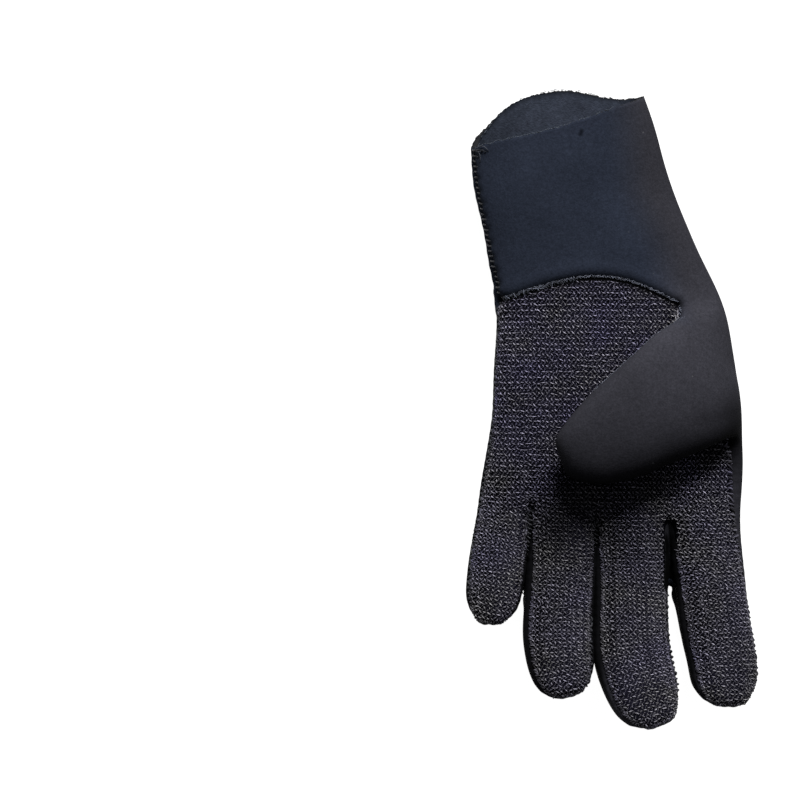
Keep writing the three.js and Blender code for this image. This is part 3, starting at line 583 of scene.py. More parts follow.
THUMB_FADE = 3.0
THUMB_FADE_POWER = 1.2
THUMB_TIP_BULGE = 3.0
print("the thumb has", len(THUMB_STATIONS), "stations")


# %% The thumb's tube
thumb_face_cells = CROTCH_ROW - WRIST_ROW


def thumb_tube(base):
    """Rings of points by station and place round the section: the half width runs from one edge to
    the other, and the depth along a direction that turns from outward to upward."""
    angles = -section_angles(thumb_face_cells, THUMB_STRIPS, *[THUMB_FACE_ANGLE] * 3)

    def section_point(at):
        value = {name: curve_through(THUMB_STATIONS, THUMB_COLUMNS, name, at) for name in THUMB_COLUMNS[1:]}
        wrist = stack(value["wrist_x"], value["wrist_y"], value["wrist_z"])
        crotch = stack(value["crotch_x"], value["crotch_y"], value["crotch_z"])
        half = (crotch - wrist) / 2
        outward = unit(stack(-half[..., 1], half[..., 0], 0.0))
        turn = np.radians(value["turn"])[..., None]
        lift = outward * np.cos(turn) + np.array([0, 0, 1.0]) * np.sin(turn)
        out = signed_power(np.cos(angles), 2 / value["roundness"])[..., None]
        rise = signed_power(np.sin(angles), 2 / value["roundness"])[..., None]
        return wrist + half + half * out + lift * rise * value["depth"][..., None] / 2

    at = np.arange(1.0, len(THUMB_STATIONS))[:, None]
    fade = (1 - np.clip(at / THUMB_FADE, 0, 1))**THUMB_FADE_POWER
    offset = point_at(base) - section_point(np.zeros((1, 1)))[0]
    rings = section_point(at) + offset * fade[..., None]
    last, inner = THUMB_STATIONS[-1], THUMB_STATIONS[-2]
    ahead = np.array(last[1:4]) + np.array(last[4:7]) - np.array(inner[1:4]) - np.array(inner[4:7])
    return rings, unit(ahead) * THUMB_TIP_BULGE


far_column = PALM_COLUMNS + THUMB_STRIPS
near_side = hand_net[WRIST_ROW:CROTCH_ROW + 1, PALM_COLUMNS]
far_side = hand_net[WRIST_ROW:CROTCH_ROW + 1, far_column][::-1]
finger_end = hand_net[CROTCH_ROW, PALM_COLUMNS + 1:far_column]
wrist_end = hand_net[WRIST_ROW, PALM_COLUMNS + 1:far_column][::-1]
thumb_base = np.concatenate([near_side, finger_end, far_side, wrist_end])
thumb_rings, thumb_push = thumb_tube(thumb_base)
thumb_net = np.concatenate([thumb_base[None], add_points(thumb_rings)])
thumb_around = np.roll(thumb_net, -1, axis=1)
thumb_label = np.where(np.arange(len(thumb_base)) < thumb_face_cells, PALM, BACK)
add_cells(thumb_net[:-1], thumb_around[:-1], thumb_around[1:], thumb_net[1:],
          np.broadcast_to(thumb_label, thumb_net[1:].shape))
close_tip(thumb_net[-1], thumb_face_cells, THUMB_STRIPS, thumb_push, BACK, True)

cage = np.concatenate(net_points) - np.array([MIDDLE_X, MIDDLE_Y, 0])
cells = np.concatenate(net_cells)
labels = np.concatenate(net_labels)
print("net:", len(cage), "points,", len(cells), "cells")


# %% [markdown]
# ## Smoothing the net
#
# A subdivision surface turns the net into soft cloth: each cell is cut in four, and every point
# moves to a weighted mean of its neighbours. Blender has a modifier for this, and here the same
# rule is written out, because the stitches, the knit and the folds need to know where each point
# of the smooth surface lies before the mesh is made.

# %% One round of subdivision, and the surface that further rounds would reach
def sides_of(quads):
    """The two points of each side of each cell."""
    return np.stack([quads, np.roll(quads, -1, axis=1)], axis=-1).reshape(-1, 2)


def edges_of(quads):
    """The edges of the cells: their two points, which edge each side of a cell is, and how many
    cells share each."""
    edges, number, uses = np.unique(np.sort(sides_of(quads), axis=1), axis=0,
                                    return_inverse=True, return_counts=True)
    return edges, number.reshape(quads.shape), uses


def edge_between(ends, edges, count):
    """The number of the edge between each pair of points. Edges are sorted, so each is found by its
    two ends read as one number."""
    low, high = np.sort(ends, axis=1).T
    return np.searchsorted(edges[:, 0] * count + edges[:, 1], low * count + high)


def gather(numbers, values, count):
    """Adds up the values that go to each number."""
    total = np.zeros((count,) + values.shape[1:])
    np.add.at(total, numbers, values)
    return total


def neighbour_sums(points, quads, edges, uses):
    """For each point, how many cells meet there, the sums over its neighbours along edges and over
    its cells' far corners, and the same along the hem alone."""
    count = len(points)
    valence = np.bincount(quads.ravel(), minlength=count).astype(float)[:, None]
    near = gather(edges.ravel(), points[edges[:, ::-1]].reshape(-1, 3), count)
    far = gather(quads.ravel(), points[np.roll(quads, 2, axis=1)].reshape(-1, 3), count)
    hem = edges[uses == 1]
    hem_near = gather(hem.ravel(), points[hem[:, ::-1]].reshape(-1, 3), count)
    on_hem = np.zeros((count, 1), bool)
    on_hem[hem.ravel()] = True
    return valence, near, far, hem_near, on_hem


def subdivide(points, quads):
    """One Catmull-Clark round. New points come after the old ones: first one for each edge, then
    one for each cell."""
    edges, side_edge, uses = edges_of(quads)
    centres = points[quads].mean(axis=1)
    valence, near, far, hem_near, on_hem = neighbour_sums(points, quads, edges, uses)
    ends = points[edges].sum(axis=1)
    beside = gather(side_edge.ravel(), np.repeat(centres, 4, axis=0), len(edges))
    edge_points = np.where(uses[:, None] == 2, (ends + beside) / 4, ends / 2)
    around = gather(quads.ravel(), np.repeat(centres, 4, axis=0), len(points)) / valence
    middles = (near / valence + points) / 2
    inner = (around + 2 * middles + (valence - 3) * points) / valence
    moved = np.where(on_hem, (6 * points + hem_near) / 8, inner)
    edge_number = len(points) + side_edge
    cell_number = len(points) + len(edges) + np.arange(len(quads))
    smaller = np.stack([quads, edge_number, np.broadcast_to(cell_number[:, None], quads.shape),
                        np.roll(edge_number, 1, axis=1)], axis=-1).reshape(-1, 4)
    return np.concatenate([moved, edge_points, centres]), smaller, edges


def limit_surface(points, quads):
    """Where endless rounds would bring each point. The glove is soft, so it lies flat on the table."""
    edges, _, uses = edges_of(quads)
    valence, near, far, hem_near, on_hem = neighbour_sums(points, quads, edges, uses)
    inner = (valence**2 * points + 4 * near + far) / (valence * (valence + 5))
    reached = np.where(on_hem, (4 * points + hem_near) / 6, inner)
    reached[:, 2] = np.maximum(reached[:, 2], 0)
    return reached


def carry(values, quads, edges):
    """Values for one round's new points: the mean of an edge's two ends or of a cell's four corners."""
    return np.concatenate([values, values[edges].mean(axis=1), values[quads].mean(axis=1)])


def normals_of(points, quads):
    """Directions out of the surface: the cross products of the cells' diagonals, added up."""
    corner = points[quads]
    across = np.cross(corner[:, 2] - corner[:, 0], corner[:, 3] - corner[:, 1])
    return unit(gather(quads.ravel(), np.repeat(across, 4, axis=0), len(points)))


# %% [markdown]
# The net has to lie on the solids of the frame, or the thread and the knit would float or sink. So
# the distance from the smooth net to the nearest corner of the CAD mesh is measured here.

# %% Measure the net against the frame
net_surface = limit_surface(cage, cells)
cad_points = np.concatenate([
    np.array([vertex.co for vertex in node.data.vertices]) for node in frame["nodes"].values()]) / MM
misfit = [float(np.sqrt(((cad_points - point)**2).sum(axis=1).min())) for point in net_surface[::25]]
print("net to CAD vertices: at most", round(max(misfit), 3), "mm apart, where a seam's gap is 0.25 mm")


# %% [markdown]
# ## Where the threads of the knit run
#
# The palm is cut from one flat piece of knit, so its rows stay straight and evenly spaced over the
# hand and up the fingers. Each point of the net gets its place on that flat cloth: how far across
# and how far along, measured over the surface. A knit that followed plain X and Y would be
# stretched wherever the surface turns down at an edge or up at a fingertip. On the fingers the rows
# sit a little closer, as the photograph shows: that is the crowding.

# %% Cloth coordinates of the net
FINGER_CROWDING = 0.19
FINGERS_FROM = -35.0
cloth = np.zeros((len(cage), 2))


def walk_across(points, along_steps, middle):
    """Distance walked across each row of points, counted from its middle column. What two
    neighbours differ along the cloth doesn't count."""
    steps = np.linalg.norm(np.diff(points, axis=1), axis=-1)
    steps = np.sqrt(np.maximum(steps**2 - along_steps**2, 0))
    walked = np.concatenate([np.zeros((len(points), 1)), np.cumsum(steps, axis=1)], axis=1)
    return walked - walked[:, middle:middle + 1]


palm_net = hand_net[WRIST_ROW:, :PALM_COLUMNS + 1]
palm_surface = net_surface[palm_net]
palm_across = walk_across(palm_surface, np.diff(palm_surface[..., 1], axis=1), PALM_COLUMNS // 2)
cloth[palm_net] = np.stack([palm_surface[:, PALM_COLUMNS // 2, None, 0] + palm_across,
                            palm_surface[..., 1]], axis=-1)
for order, (net, cloth_y) in enumerate(finger_nets):
    face_net = net[1:, :FACE + 1]
    along = cloth_y[:, :FACE + 1] - MIDDLE_Y
    across = walk_across(net_surface[face_net], np.diff(along, axis=1), FACE // 2)
    middle_x = cloth[net[0, FACE // 2], 0]
    cloth[face_net] = np.stack([middle_x + across, along], axis=-1)

inner_thumb = thumb_net[:, :thumb_face_cells + 1]
thumb_surface = net_surface[inner_thumb]
out_from_palm = np.linalg.norm(np.diff(thumb_surface, axis=0), axis=-1).cumsum(axis=0)
thumb_across = walk_across(thumb_surface, 0, thumb_face_cells // 2)[1:]
settled = smooth_step(np.arange(1, len(thumb_net)) / 2)[:, None]
root_y = thumb_surface[0, :, 1]
thumb_along = mix(root_y, root_y[thumb_face_cells // 2] - thumb_across, settled)
cloth[inner_thumb[1:]] = np.stack([cloth[inner_thumb[0], 0] + out_from_palm, thumb_along], axis=-1)
cloth[:, 1] += FINGER_CROWDING * np.minimum(cloth[:, 1] - FINGERS_FROM, 0)
print("knit of the palm:", np.ptp(cloth[palm_net][..., 0]).round(1), "mm across on the flat cloth")


# %% [markdown]
# ## Seams as lines of the net
#
# Every seam of the glove runs along edges of the net, so it is written as a list of the net's point
# numbers. When the net is cut finer, the middles of those edges join the list. Thread and folds can
# then follow the real seam wherever it goes, also round a fingertip.

# %% Seam lines
def without_repeats(parts):
    """Lists of point numbers joined into one line, with no number twice in a row."""
    numbers = np.concatenate(parts)
    return numbers[np.concatenate([[True], numbers[1:] != numbers[:-1]])]


def knit_edge():
    """The long edge of the knit: from the wrist down the little finger's side, round each finger,
    and up the index finger's side to the thumb."""
    line = [hand_net[WRIST_ROW:LAST_ROW, 0]]
    for net, _ in finger_nets:
        line += [net[:, 0], net[-1, 1:FACE], net[::-1, FACE]]
    return without_repeats(line + [hand_net[CROTCH_ROW:LAST_ROW, PALM_COLUMNS][::-1]])


def thumb_edge():
    """Out along the finger side of the thumb, round its tip, and back to the wrist."""
    return without_repeats([thumb_net[:, thumb_face_cells], thumb_net[-1, 1:thumb_face_cells][::-1],
                            thumb_net[::-1, 0]])


left_part, right_part = BACK_END - FACE, BACK_START + FACE
middle_part = (left_part + right_part) // 2
seams = {
    "wrist": hand_net[WRIST_ROW, :PALM_COLUMNS + 1],
    "knit_edge": knit_edge(),
    "thumb_edge": thumb_edge(),
    "thumb_line": np.concatenate([hand_net[WRIST_ROW, PALM_COLUMNS][None], thumb_net[1:, -1]]),
    "gauntlet_edge": hand_net[:WRIST_ROW + 1, 0],
    "arch": np.concatenate([
        hand_net[LAST_ROW, 3 * FACE][None], webs[2], hand_net[KNUCKLE_ARC_ROW:, right_part][::-1],
        hand_net[KNUCKLE_ARC_ROW, right_part + 1:left_part], hand_net[KNUCKLE_ARC_ROW:, left_part],
        webs[0][::-1], hand_net[LAST_ROW, FACE][None]]),
    "finger_part": np.concatenate([
        hand_net[KNUCKLE_ARC_ROW:, middle_part], webs[1][::-1], hand_net[LAST_ROW, 2 * FACE][None]]),
    "hem": hand_net[0, np.arange(RING_SIZE + 1) % RING_SIZE],
}


def refine_line(numbers, edges, count):
    """The line with the middle of each of its edges put in."""
    finer = np.empty(2 * len(numbers) - 1, int)
    finer[0::2] = numbers
    finer[1::2] = count + edge_between(np.stack([numbers[:-1], numbers[1:]], axis=1), edges, count)
    return finer


# %% [markdown]
# Three rounds make a net fine enough for creases a few millimetres wide. The inner wall is the same
# surface moved in by the wall's thickness, from the round before, because hardly any of it shows. A
# Solidify modifier could give the wall too, but its inner faces would cross in the tight folds.

# %% Cut the net three times finer
ROUNDS = 3
WALL_EVENING_PASSES = 4


def wall_directions(directions, quads):
    """Evens out the directions of the wall, so that tight folds don't cross: each pass adds a
    quarter of both neighbours' directions in every cell."""
    for _ in range(WALL_EVENING_PASSES):
        beside = (directions[np.roll(quads, -1, axis=1)] + directions[np.roll(quads, 1, axis=1)]) * 0.25
        directions = unit(directions + gather(quads.ravel(), beside.reshape(-1, 3), len(directions)))
    return directions


through_wall = wall_directions(normals_of(net_surface, cells), cells)
fine_points, fine_cells, fine_labels = cage, cells, labels
for round_number in range(ROUNDS):
    if round_number == ROUNDS - 1:
        inner_points, inner_cells, inner_labels = fine_points, fine_cells, fine_labels
        inner_through = through_wall
    count = len(fine_points)
    fine_points, smaller, edges = subdivide(fine_points, fine_cells)
    cloth = carry(cloth, fine_cells, edges)
    through_wall = unit(carry(through_wall, fine_cells, edges))
    seams = {name: refine_line(numbers, edges, count) for name, numbers in seams.items()}
    fine_cells = smaller
    fine_labels = np.repeat(fine_labels, 4)
inner_edges = edges_of(inner_cells)[0]
smooth = limit_surface(fine_points, fine_cells)
smooth_normals = normals_of(smooth, fine_cells)
inner_wall = limit_surface(inner_points, inner_cells) - WALL * unit(inner_through)
print("finest net:", len(smooth), "points,", len(fine_cells), "cells")


# %% [markdown]
# ## Puckers, folds and the curl beside a seam
#
# Foam rubber is thick, so a seam pulls it down into a groove and the cloth beside it swells a
# little. At the wrist the gauntlet's edge curls down over the knit. The glove was also folded and
# worn in, so no face is perfectly even, and the foam gathers where the thread holds it short. These
# small heights are added along the surface's own direction. Modelling them in the mesh, not only in
# the material, keeps them in the outline and in the exported shape.

# %% Distance to seams
def nearest_on(numbers, points, chunk=4000):
    """Distance from each point to the nearest point of a seam, and which one that is. Squares are
    worked out as the sum of both squared lengths less twice the product."""
    line = smooth[numbers]
    square = (line**2).sum(axis=1)
    found = []
    for start in range(0, len(points), chunk):
        part = points[start:start + chunk]
        apart = (part**2).sum(axis=1)[:, None] + square - 2 * part @ line.T
        found.append(np.stack([apart.min(axis=1), apart.argmin(axis=1)], axis=1))
    both = np.concatenate(found)
    return np.sqrt(np.maximum(both[:, 0], 0)), both[:, 1].astype(int)


RELIEF_COLUMNS = ("seam", "dip", "dip_width", "swell", "swell_place", "ripple", "ripple_pitch")
RELIEF = [
    ("wrist", 1.1, 1.3, 0.4, 4.4, 0.0, 1.0),
    ("knit_edge", 0.9, 1.4, 0.3, 4.2, 0.1, 4.1),
    ("thumb_edge", 0.9, 1.4, 0.3, 4.2, 0.1, 4.4),
    ("gauntlet_edge", 0.7, 1.3, 0.35, 4.5, 0.22, 5.2),
    ("arch", 0.9, 1.5, 0.35, 4.5, 0.3, 5.0),
    ("finger_part", 0.9, 1.5, 0.35, 4.5, 0.25, 4.6),
]
distances = {name: nearest_on(seams[name], smooth) for name, *_ in RELIEF}
nearest_seam = np.min([distance for distance, _ in distances.values()], axis=0)
print("points within 2 mm of a seam:", int((nearest_seam < 2).sum()))

# %% [markdown]
# The folds are few: foam rubber this thick bends in soft, wide creases. Each one in the table is a
# straight line through the glove with a width and a depth, and the crease is a bell curve round it
# that fades out toward the line's ends. The rows with a negative depth swell instead: where two
# fingers press together, and where a fingertip is fuller on one side. A cloth simulation would fold
# the glove in its own way, not where this one is folded. The unevenness is a few long waves, each
# with a direction, a start and a height.

# %% The small heights
SWELL_WIDTH = 2.4
RIPPLE_REACH = 2.2
RIPPLE_SWAY = 1.7
RIPPLE_SWAY_LENGTH = 13
CREASE_END = 0.1
WAVE_COLUMNS = ("x", "y", "z", "start", "height")
WAVES = [
    (0.19, 0.07, 0.05, 0.7, 0.2),
    (-0.06, 0.15, 0.09, 2.1, 0.22),
    (0.11, -0.12, 0.16, 4.0, 0.16),
    (0.28, 0.21, -0.1, 1.3, 0.07),
]
CREASE_COLUMNS = ("x1", "y1", "z1", "x2", "y2", "z2", "width", "depth")
CREASES = [
    (34, 62, 24, 58, 34, 18, 4.5, 0.55),
    (44, 20, 30, 58, 12, 16, 4.0, 0.5),
    (30, -8, 42, 52, -3, 26, 3.0, 0.6),
    (8, 92, 30, 36, 78, 20, 7.0, 0.35),
    (-58, 92, 14, -52, 60, 12, 5.0, 0.5),
    (-40, 66, 0, 10, 74, 0, 6.0, 0.8),
    (0, 46, 0, 44, 52, 2, 5.0, 0.9),
    (-52, 40, 4, -20, 36, 0, 4.0, 0.9),
    (-56, -6, 8, -34, 4, 0, 4.0, 0.7),
    (30, -24, 0, 56, -18, 8, 4.0, 0.7),
    (-50, -60, 6, -34, -62, 6, 3.0, 0.5),
    (-26, -84, 6, -10, -86, 6, 3.0, 0.5),
    (4, -88, 8, 22, -90, 8, 3.0, 0.5),
    (34, -84, 6, 52, -82, 6, 3.0, 0.5),
    (-7.2, -78, 14, -7.0, -110, 22, 4.0, -0.5),
    (6, -131, 35, 14, -132, 35, 5.0, 0.9),
    (20, -130, 34, 26, -126, 32, 5.0, -1.1),
    (46, -121, 30, 55, -118, 27, 5.0, -1.1),
    (-55, -86, 24, -51, -90, 24, 4.0, -0.9),
    (27.5, -68, 12, 30.0, -92, 17, 5.0, 1.3),
]


def seam_relief(seam, dip, dip_width, swell, swell_place, ripple, ripple_pitch):
    """A groove along a seam, a swelling beside it, and ripples that run out from it: two bell curves
    of the distance, and a sine of the place along the seam that fades with the distance. A slower
    sine keeps the ripples from being even."""
    distance, nearest = distances[seam]
    walked = walked_along(smooth[seams[seam]])[nearest]
    sway = RIPPLE_SWAY * np.sin(walked / RIPPLE_SWAY_LENGTH)
    wave = np.sin(2 * np.pi * walked / ripple_pitch + sway)
    return (-dip * bell(distance, dip_width) + swell * bell(distance - swell_place, SWELL_WIDTH)
            + ripple * wave * bell(distance - RIPPLE_REACH, RIPPLE_REACH))


def nearest_on_line(points, start, end):
    """How far each point is from a straight line, and the share of the line at which it is nearest:
    the share is the dot product with the line, over the line's squared length."""
    along = end - start
    place = np.clip((points - start) @ along / (along @ along), 0, 1)
    return np.linalg.norm(points - start - place[:, None] * along, axis=1), place


def crease(points, x1, y1, z1, x2, y2, z2, width, depth):
    """A soft fold: a bell curve of the distance to its line, less deep toward the line's ends."""
    away, place = nearest_on_line(points, np.array([x1, y1, z1], float), np.array([x2, y2, z2], float))
    return -depth * bell(away, width) * np.sin(np.pi * mix(CREASE_END, 1 - CREASE_END, place))


def unevenness(points):
    """A few long waves across the glove, each a sine of a place along its own direction."""
    wave = by_name(WAVE_COLUMNS, np.array(WAVES).T)
    directions = np.stack([wave["x"], wave["y"], wave["z"]])
    return (np.sin(points @ directions + wave["start"]) * wave["height"]).sum(axis=1)


relief = sum(crease(smooth, **by_name(CREASE_COLUMNS, row)) for row in CREASES)
relief += unevenness(smooth) * np.clip(nearest_seam / 4, 0, 1)
for row in RELIEF:
    relief += seam_relief(**by_name(RELIEF_COLUMNS, row))
outer = smooth + smooth_normals * relief[:, None]

# %% [markdown]
# The hem is simply cut with shears, so it isn't quite straight: on the back it rises a little in
# the middle, and its points are pushed in by small random steps.

# %% A ragged hem
HEM_NOTCH = 0.45
HEM_RISE = 1.1
INTO_GLOVE = np.array([0.25, -1.0, 0.0])
RISE_MIDDLE_X = -14
RISE_HALF_WIDTH = 20
RISE_REACH = 10
seed = np.random.default_rng(7)
hem_distance, _ = nearest_on(seams["hem"], smooth)
on_back = rising(smooth[:, 2], start=10, span=-6)
in_middle = bell(smooth[:, 0] - RISE_MIDDLE_X, RISE_HALF_WIDTH)
outer[:, 1] += HEM_RISE * on_back * bell(hem_distance, RISE_REACH) * in_middle
hem_points = seams["hem"][:-1]
outer[hem_points] += unit(INTO_GLOVE) * (HEM_NOTCH * seed.uniform(-0.6, 1, len(hem_points)))[:, None]
outer[:, 2] = np.maximum(outer[:, 2], 0)
print("heights from", round(float(relief.min()), 2), "to", round(float(relief.max()), 2), "mm")


# %% [markdown]
# ## Finishes
#
# Neoprene is faced with a fine, matt jersey with a bluish cast, and on the thumb side and past the
# wrist it is more neutral and lighter. The aramid yarn is dark grey with a little gloss, on a nearly
# black ground whose colour is partly painted shade between the loops. All textures are worked out in
# the object's own coordinates or from values stored in the mesh, so they stay on the glove when it moves.

# %% Helpers for finishes
def new_finish(name, colour, roughness, gloss):
    """A material with its main shader, ready for more nodes."""
    finish = bpy.data.materials.new(name)
    finish.use_nodes = True
    shader = main_shader(finish)
    shader.inputs["Base Color"].default_value = (*colour, 1)
    shader.inputs["Roughness"].default_value = roughness
    shader.inputs["Specular IOR Level"].default_value = gloss
    return finish


def main_shader(finish):
    """The shader that makes a material's surface."""
    return finish.node_tree.nodes["Principled BSDF"]


def add_node(finish, kind, settings=(), **inputs):
    """A new node. Settings are pairs of name and value. Inputs are named, and each takes a value or
    another node's output."""
    node = finish.node_tree.nodes.new(kind)
    for name, value in settings:
        setattr(node, name, value)
    for name, value in inputs.items():
        connect(finish, value, node.inputs[name.replace("_", " ")])
    return node


def connect(finish, value, socket):
    """Sets an input to a value, or links it to an output."""
    if isinstance(value, bpy.types.NodeSocket):
        finish.node_tree.links.new(value, socket)
    else:
        socket.default_value = value


def place_on(finish):
    """The place on the object, in its own coordinates and in metres."""
    return add_node(finish, "ShaderNodeTexCoord").outputs["Object"]


def ranged(finish, value, from_min, from_max, to_min, to_max):
    """A value moved from one range to another, and held at the ends of the new one."""
    node = add_node(finish, "ShaderNodeMapRange", Value=value, From_Min=from_min, From_Max=from_max,
                    To_Min=to_min, To_Max=to_max)
    return node.outputs["Result"]


def noise(finish, scale, detail=2.0, low=0.0, high=1.0):
    """Noise over the object. Nearly all of it lies between 0.3 and 0.7, and is stretched to run from
    low to high."""
    texture = add_node(finish, "ShaderNodeTexNoise", Vector=place_on(finish), Scale=scale, Detail=detail)
    return ranged(finish, texture.outputs["Fac"], 0.3, 0.7, low, high)


def stored(finish, name):
    """A value stored in the mesh for each point."""
    return add_node(finish, "ShaderNodeAttribute", [("attribute_name", name)]).outputs["Fac"]


def product(finish, first, second):
    """Two numbers multiplied."""
    node = add_node(finish, "ShaderNodeMath", [("operation", "MULTIPLY")])
    connect(finish, first, node.inputs[0])
    connect(finish, second, node.inputs[1])
    return node.outputs[0]


def blended_colour(finish, share, first, second):
    """A colour that goes from first to second with the share. Each is a colour or an output."""
    node = add_node(finish, "ShaderNodeMix", [("data_type", "RGBA")])
    connect(finish, share, node.inputs[0])
    for colour, socket in ((first, node.inputs[6]), (second, node.inputs[7])):
        connect(finish, colour if isinstance(colour, bpy.types.NodeSocket) else (*colour, 1), socket)
    return node.outputs[2]


def dimmed(finish, colour, share):
    """A colour times a number."""
    node = add_node(finish, "ShaderNodeVectorMath", [("operation", "SCALE")], Vector=colour, Scale=share)
    return node.outputs["Vector"]


def bumpy(finish, height, strength, distance):
    """Uses a height as bumps on the main shader."""
    bump = add_node(finish, "ShaderNodeBump", Strength=strength, Distance=distance, Height=height)
    connect(finish, bump.outputs["Normal"], main_shader(finish).inputs["Normal"])


# %% [markdown]
# Three recipes are enough: the jersey on the foam, the yarn and its fuzz, and a plain grainy one for
# thread, lining, cut foam and the ground of the knit. A single flat colour for each would look like
# plastic, because cloth this dark is told apart only by its small changes.

# %% The finishes
LINT_COLOUR = (0.03, 0.031, 0.034)
LINT_SCALE = 85.0
LINT_EDGE = (0.02, 0.035)
TAG_HOLE_SPOTS = ((-0.0133, 0.1097, 0.030), (-0.0129, 0.1109, 0.030))
TAG_HOLE_RADIUS = 0.0013
TAG_HOLE_LIGHT = 0.12
YARN_TINT_COLUMNS = ("y", "bluish")
YARN_TINT = [(-0.08, 0.65), (0.0, 1.0)]


def neoprene_finish(name, cool, warm):
    """Jersey-faced foam: two tints by the stored warmth, shaded by grain, clouds and the stored shade
    (painted light and shade), a few specks of lint, and two dark spots that run into each other: painted
    shade for the small slit that a price tag's string left."""
    finish = new_finish(name, cool, roughness=0.95, gloss=0.02)
    tint = blended_colour(finish, stored(finish, "warmth"), cool, warm)
    fine_grain = noise(finish, 1300, detail=3.0, low=0.8, high=1.2)
    grain = product(finish, fine_grain, noise(finish, 600, detail=3.0, low=0.88, high=1.12))
    clouds = noise(finish, 45, detail=6.0, low=0.88, high=1.12)
    shade = product(finish, product(finish, grain, clouds), stored(finish, "shade"))
    hole = 1.0
    for spot in TAG_HOLE_SPOTS:
        away = add_node(finish, "ShaderNodeVectorMath", [("operation", "DISTANCE")], Vector=place_on(finish))
        away.inputs[1].default_value = spot
        rim = ranged(finish, away.outputs["Value"], 0.0, TAG_HOLE_RADIUS, TAG_HOLE_LIGHT, 1.0)
        hole = product(finish, hole, rim)
    body = dimmed(finish, tint, product(finish, shade, hole))
    cell = add_node(finish, "ShaderNodeTexVoronoi", Vector=place_on(finish), Scale=LINT_SCALE)
    lint = ranged(finish, cell.outputs["Distance"], *LINT_EDGE, 1.0, 0.0)
    dusty = blended_colour(finish, lint, body, LINT_COLOUR)
    connect(finish, dusty, main_shader(finish).inputs["Base Color"])
    bumpy(finish, product(finish, grain, hole), strength=0.35, distance=0.0003)
    return finish


def yarn_finish(name, neutral, bluish, gloss):
    """Yarn in two tints that change from patch to patch, less bluish toward the fingertips, shaded
    loop by loop, with twisted strands."""
    finish = new_finish(name, neutral, roughness=0.6, gloss=gloss)
    along = add_node(finish, "ShaderNodeSeparateXYZ", Vector=place_on(finish)).outputs["Y"]
    ends = by_name(YARN_TINT_COLUMNS, np.array(YARN_TINT).T)
    most = ranged(finish, along, *ends["y"], *ends["bluish"])
    share = product(finish, noise(finish, 55), most)
    tint = blended_colour(finish, share, neutral, bluish)
    strands = noise(finish, 1100, detail=1.0, low=0.55, high=1.45)
    shade = product(finish, stored(finish, "shade"), strands)
    connect(finish, dimmed(finish, tint, shade), main_shader(finish).inputs["Base Color"])
    bumpy(finish, noise(finish, 2600, detail=1.0), strength=0.5, distance=0.0002)
    return finish


def grainy_finish(name, colour, roughness, gloss, scale, strength, shade):
    """One colour with clouds and a grainy surface, dimmed by a stored value where one is named."""
    finish = new_finish(name, colour, roughness, gloss)
    broad = noise(finish, scale / 8, low=0.85, high=1.15)
    clouds = product(finish, broad, noise(finish, scale / 2, detail=4.0, low=0.78, high=1.22))
    if shade:
        clouds = product(finish, clouds, stored(finish, shade))
    connect(finish, dimmed(finish, colour, clouds), main_shader(finish).inputs["Base Color"])
    bumpy(finish, noise(finish, scale), strength, distance=0.0004)
    return finish


neoprene = neoprene_finish("neoprene_jersey", (0.0086, 0.0107, 0.0168), (0.0120, 0.0119, 0.0148))
knit_yarn = yarn_finish("aramid_yarn", (0.083, 0.081, 0.085), (0.069, 0.064, 0.104), gloss=0.2)
knit_fuzz = yarn_finish("aramid_fuzz", (0.039, 0.038, 0.042), (0.032, 0.030, 0.056), gloss=0.1)
GRAINY_COLUMNS = ("colour", "roughness", "gloss", "scale", "strength", "shade")
GRAINY = {
    "lining_jersey": ((0.0150, 0.0178, 0.0252), 0.95, 0.02, 1300, 0.4, "hem_shade"),
    "cut_foam": ((0.0050, 0.0052, 0.0060), 0.9, 0.05, 900, 0.8, None),
    # The knit ground's near-black colour is partly painted shade between the loops.
    "knit_ground": ((0.0030, 0.0028, 0.0056), 0.9, 0.02, 1400, 0.8, "shade"),
    "black_thread": ((0.009, 0.0095, 0.012), 0.55, 0.2, 2400, 0.4, None),
    "grey_thread": ((0.056, 0.061, 0.078), 0.6, 0.1, 2400, 0.4, "shade"),
    "lining_fluff_and_highlight": ((0.028, 0.033, 0.042), 0.8, 0.1, 2400, 0.4, None),
}
lining, cut_foam, knit_ground, black_thread, grey_thread, lining_fluff_and_highlight = (
    grainy_finish(name, **by_name(GRAINY_COLUMNS, row)) for name, row in GRAINY.items())
print("finishes:", [material.name for material in bpy.data.materials if material.users == 0])


# %% [markdown]
# ## From arrays to pieces
#
# Each sewn piece is the cells with its label: the outer face from the finest net, the inner wall
# from the net one round coarser, since only a little of it shows at the hem, and a rim between the
# two. Its edge stays a hair back from the seam, so neighbours don't cut into each other. The
# inner face takes the lining's finish, and the rim that of cut foam.

# %% Mesh making
SEAM_GAP = 0.12


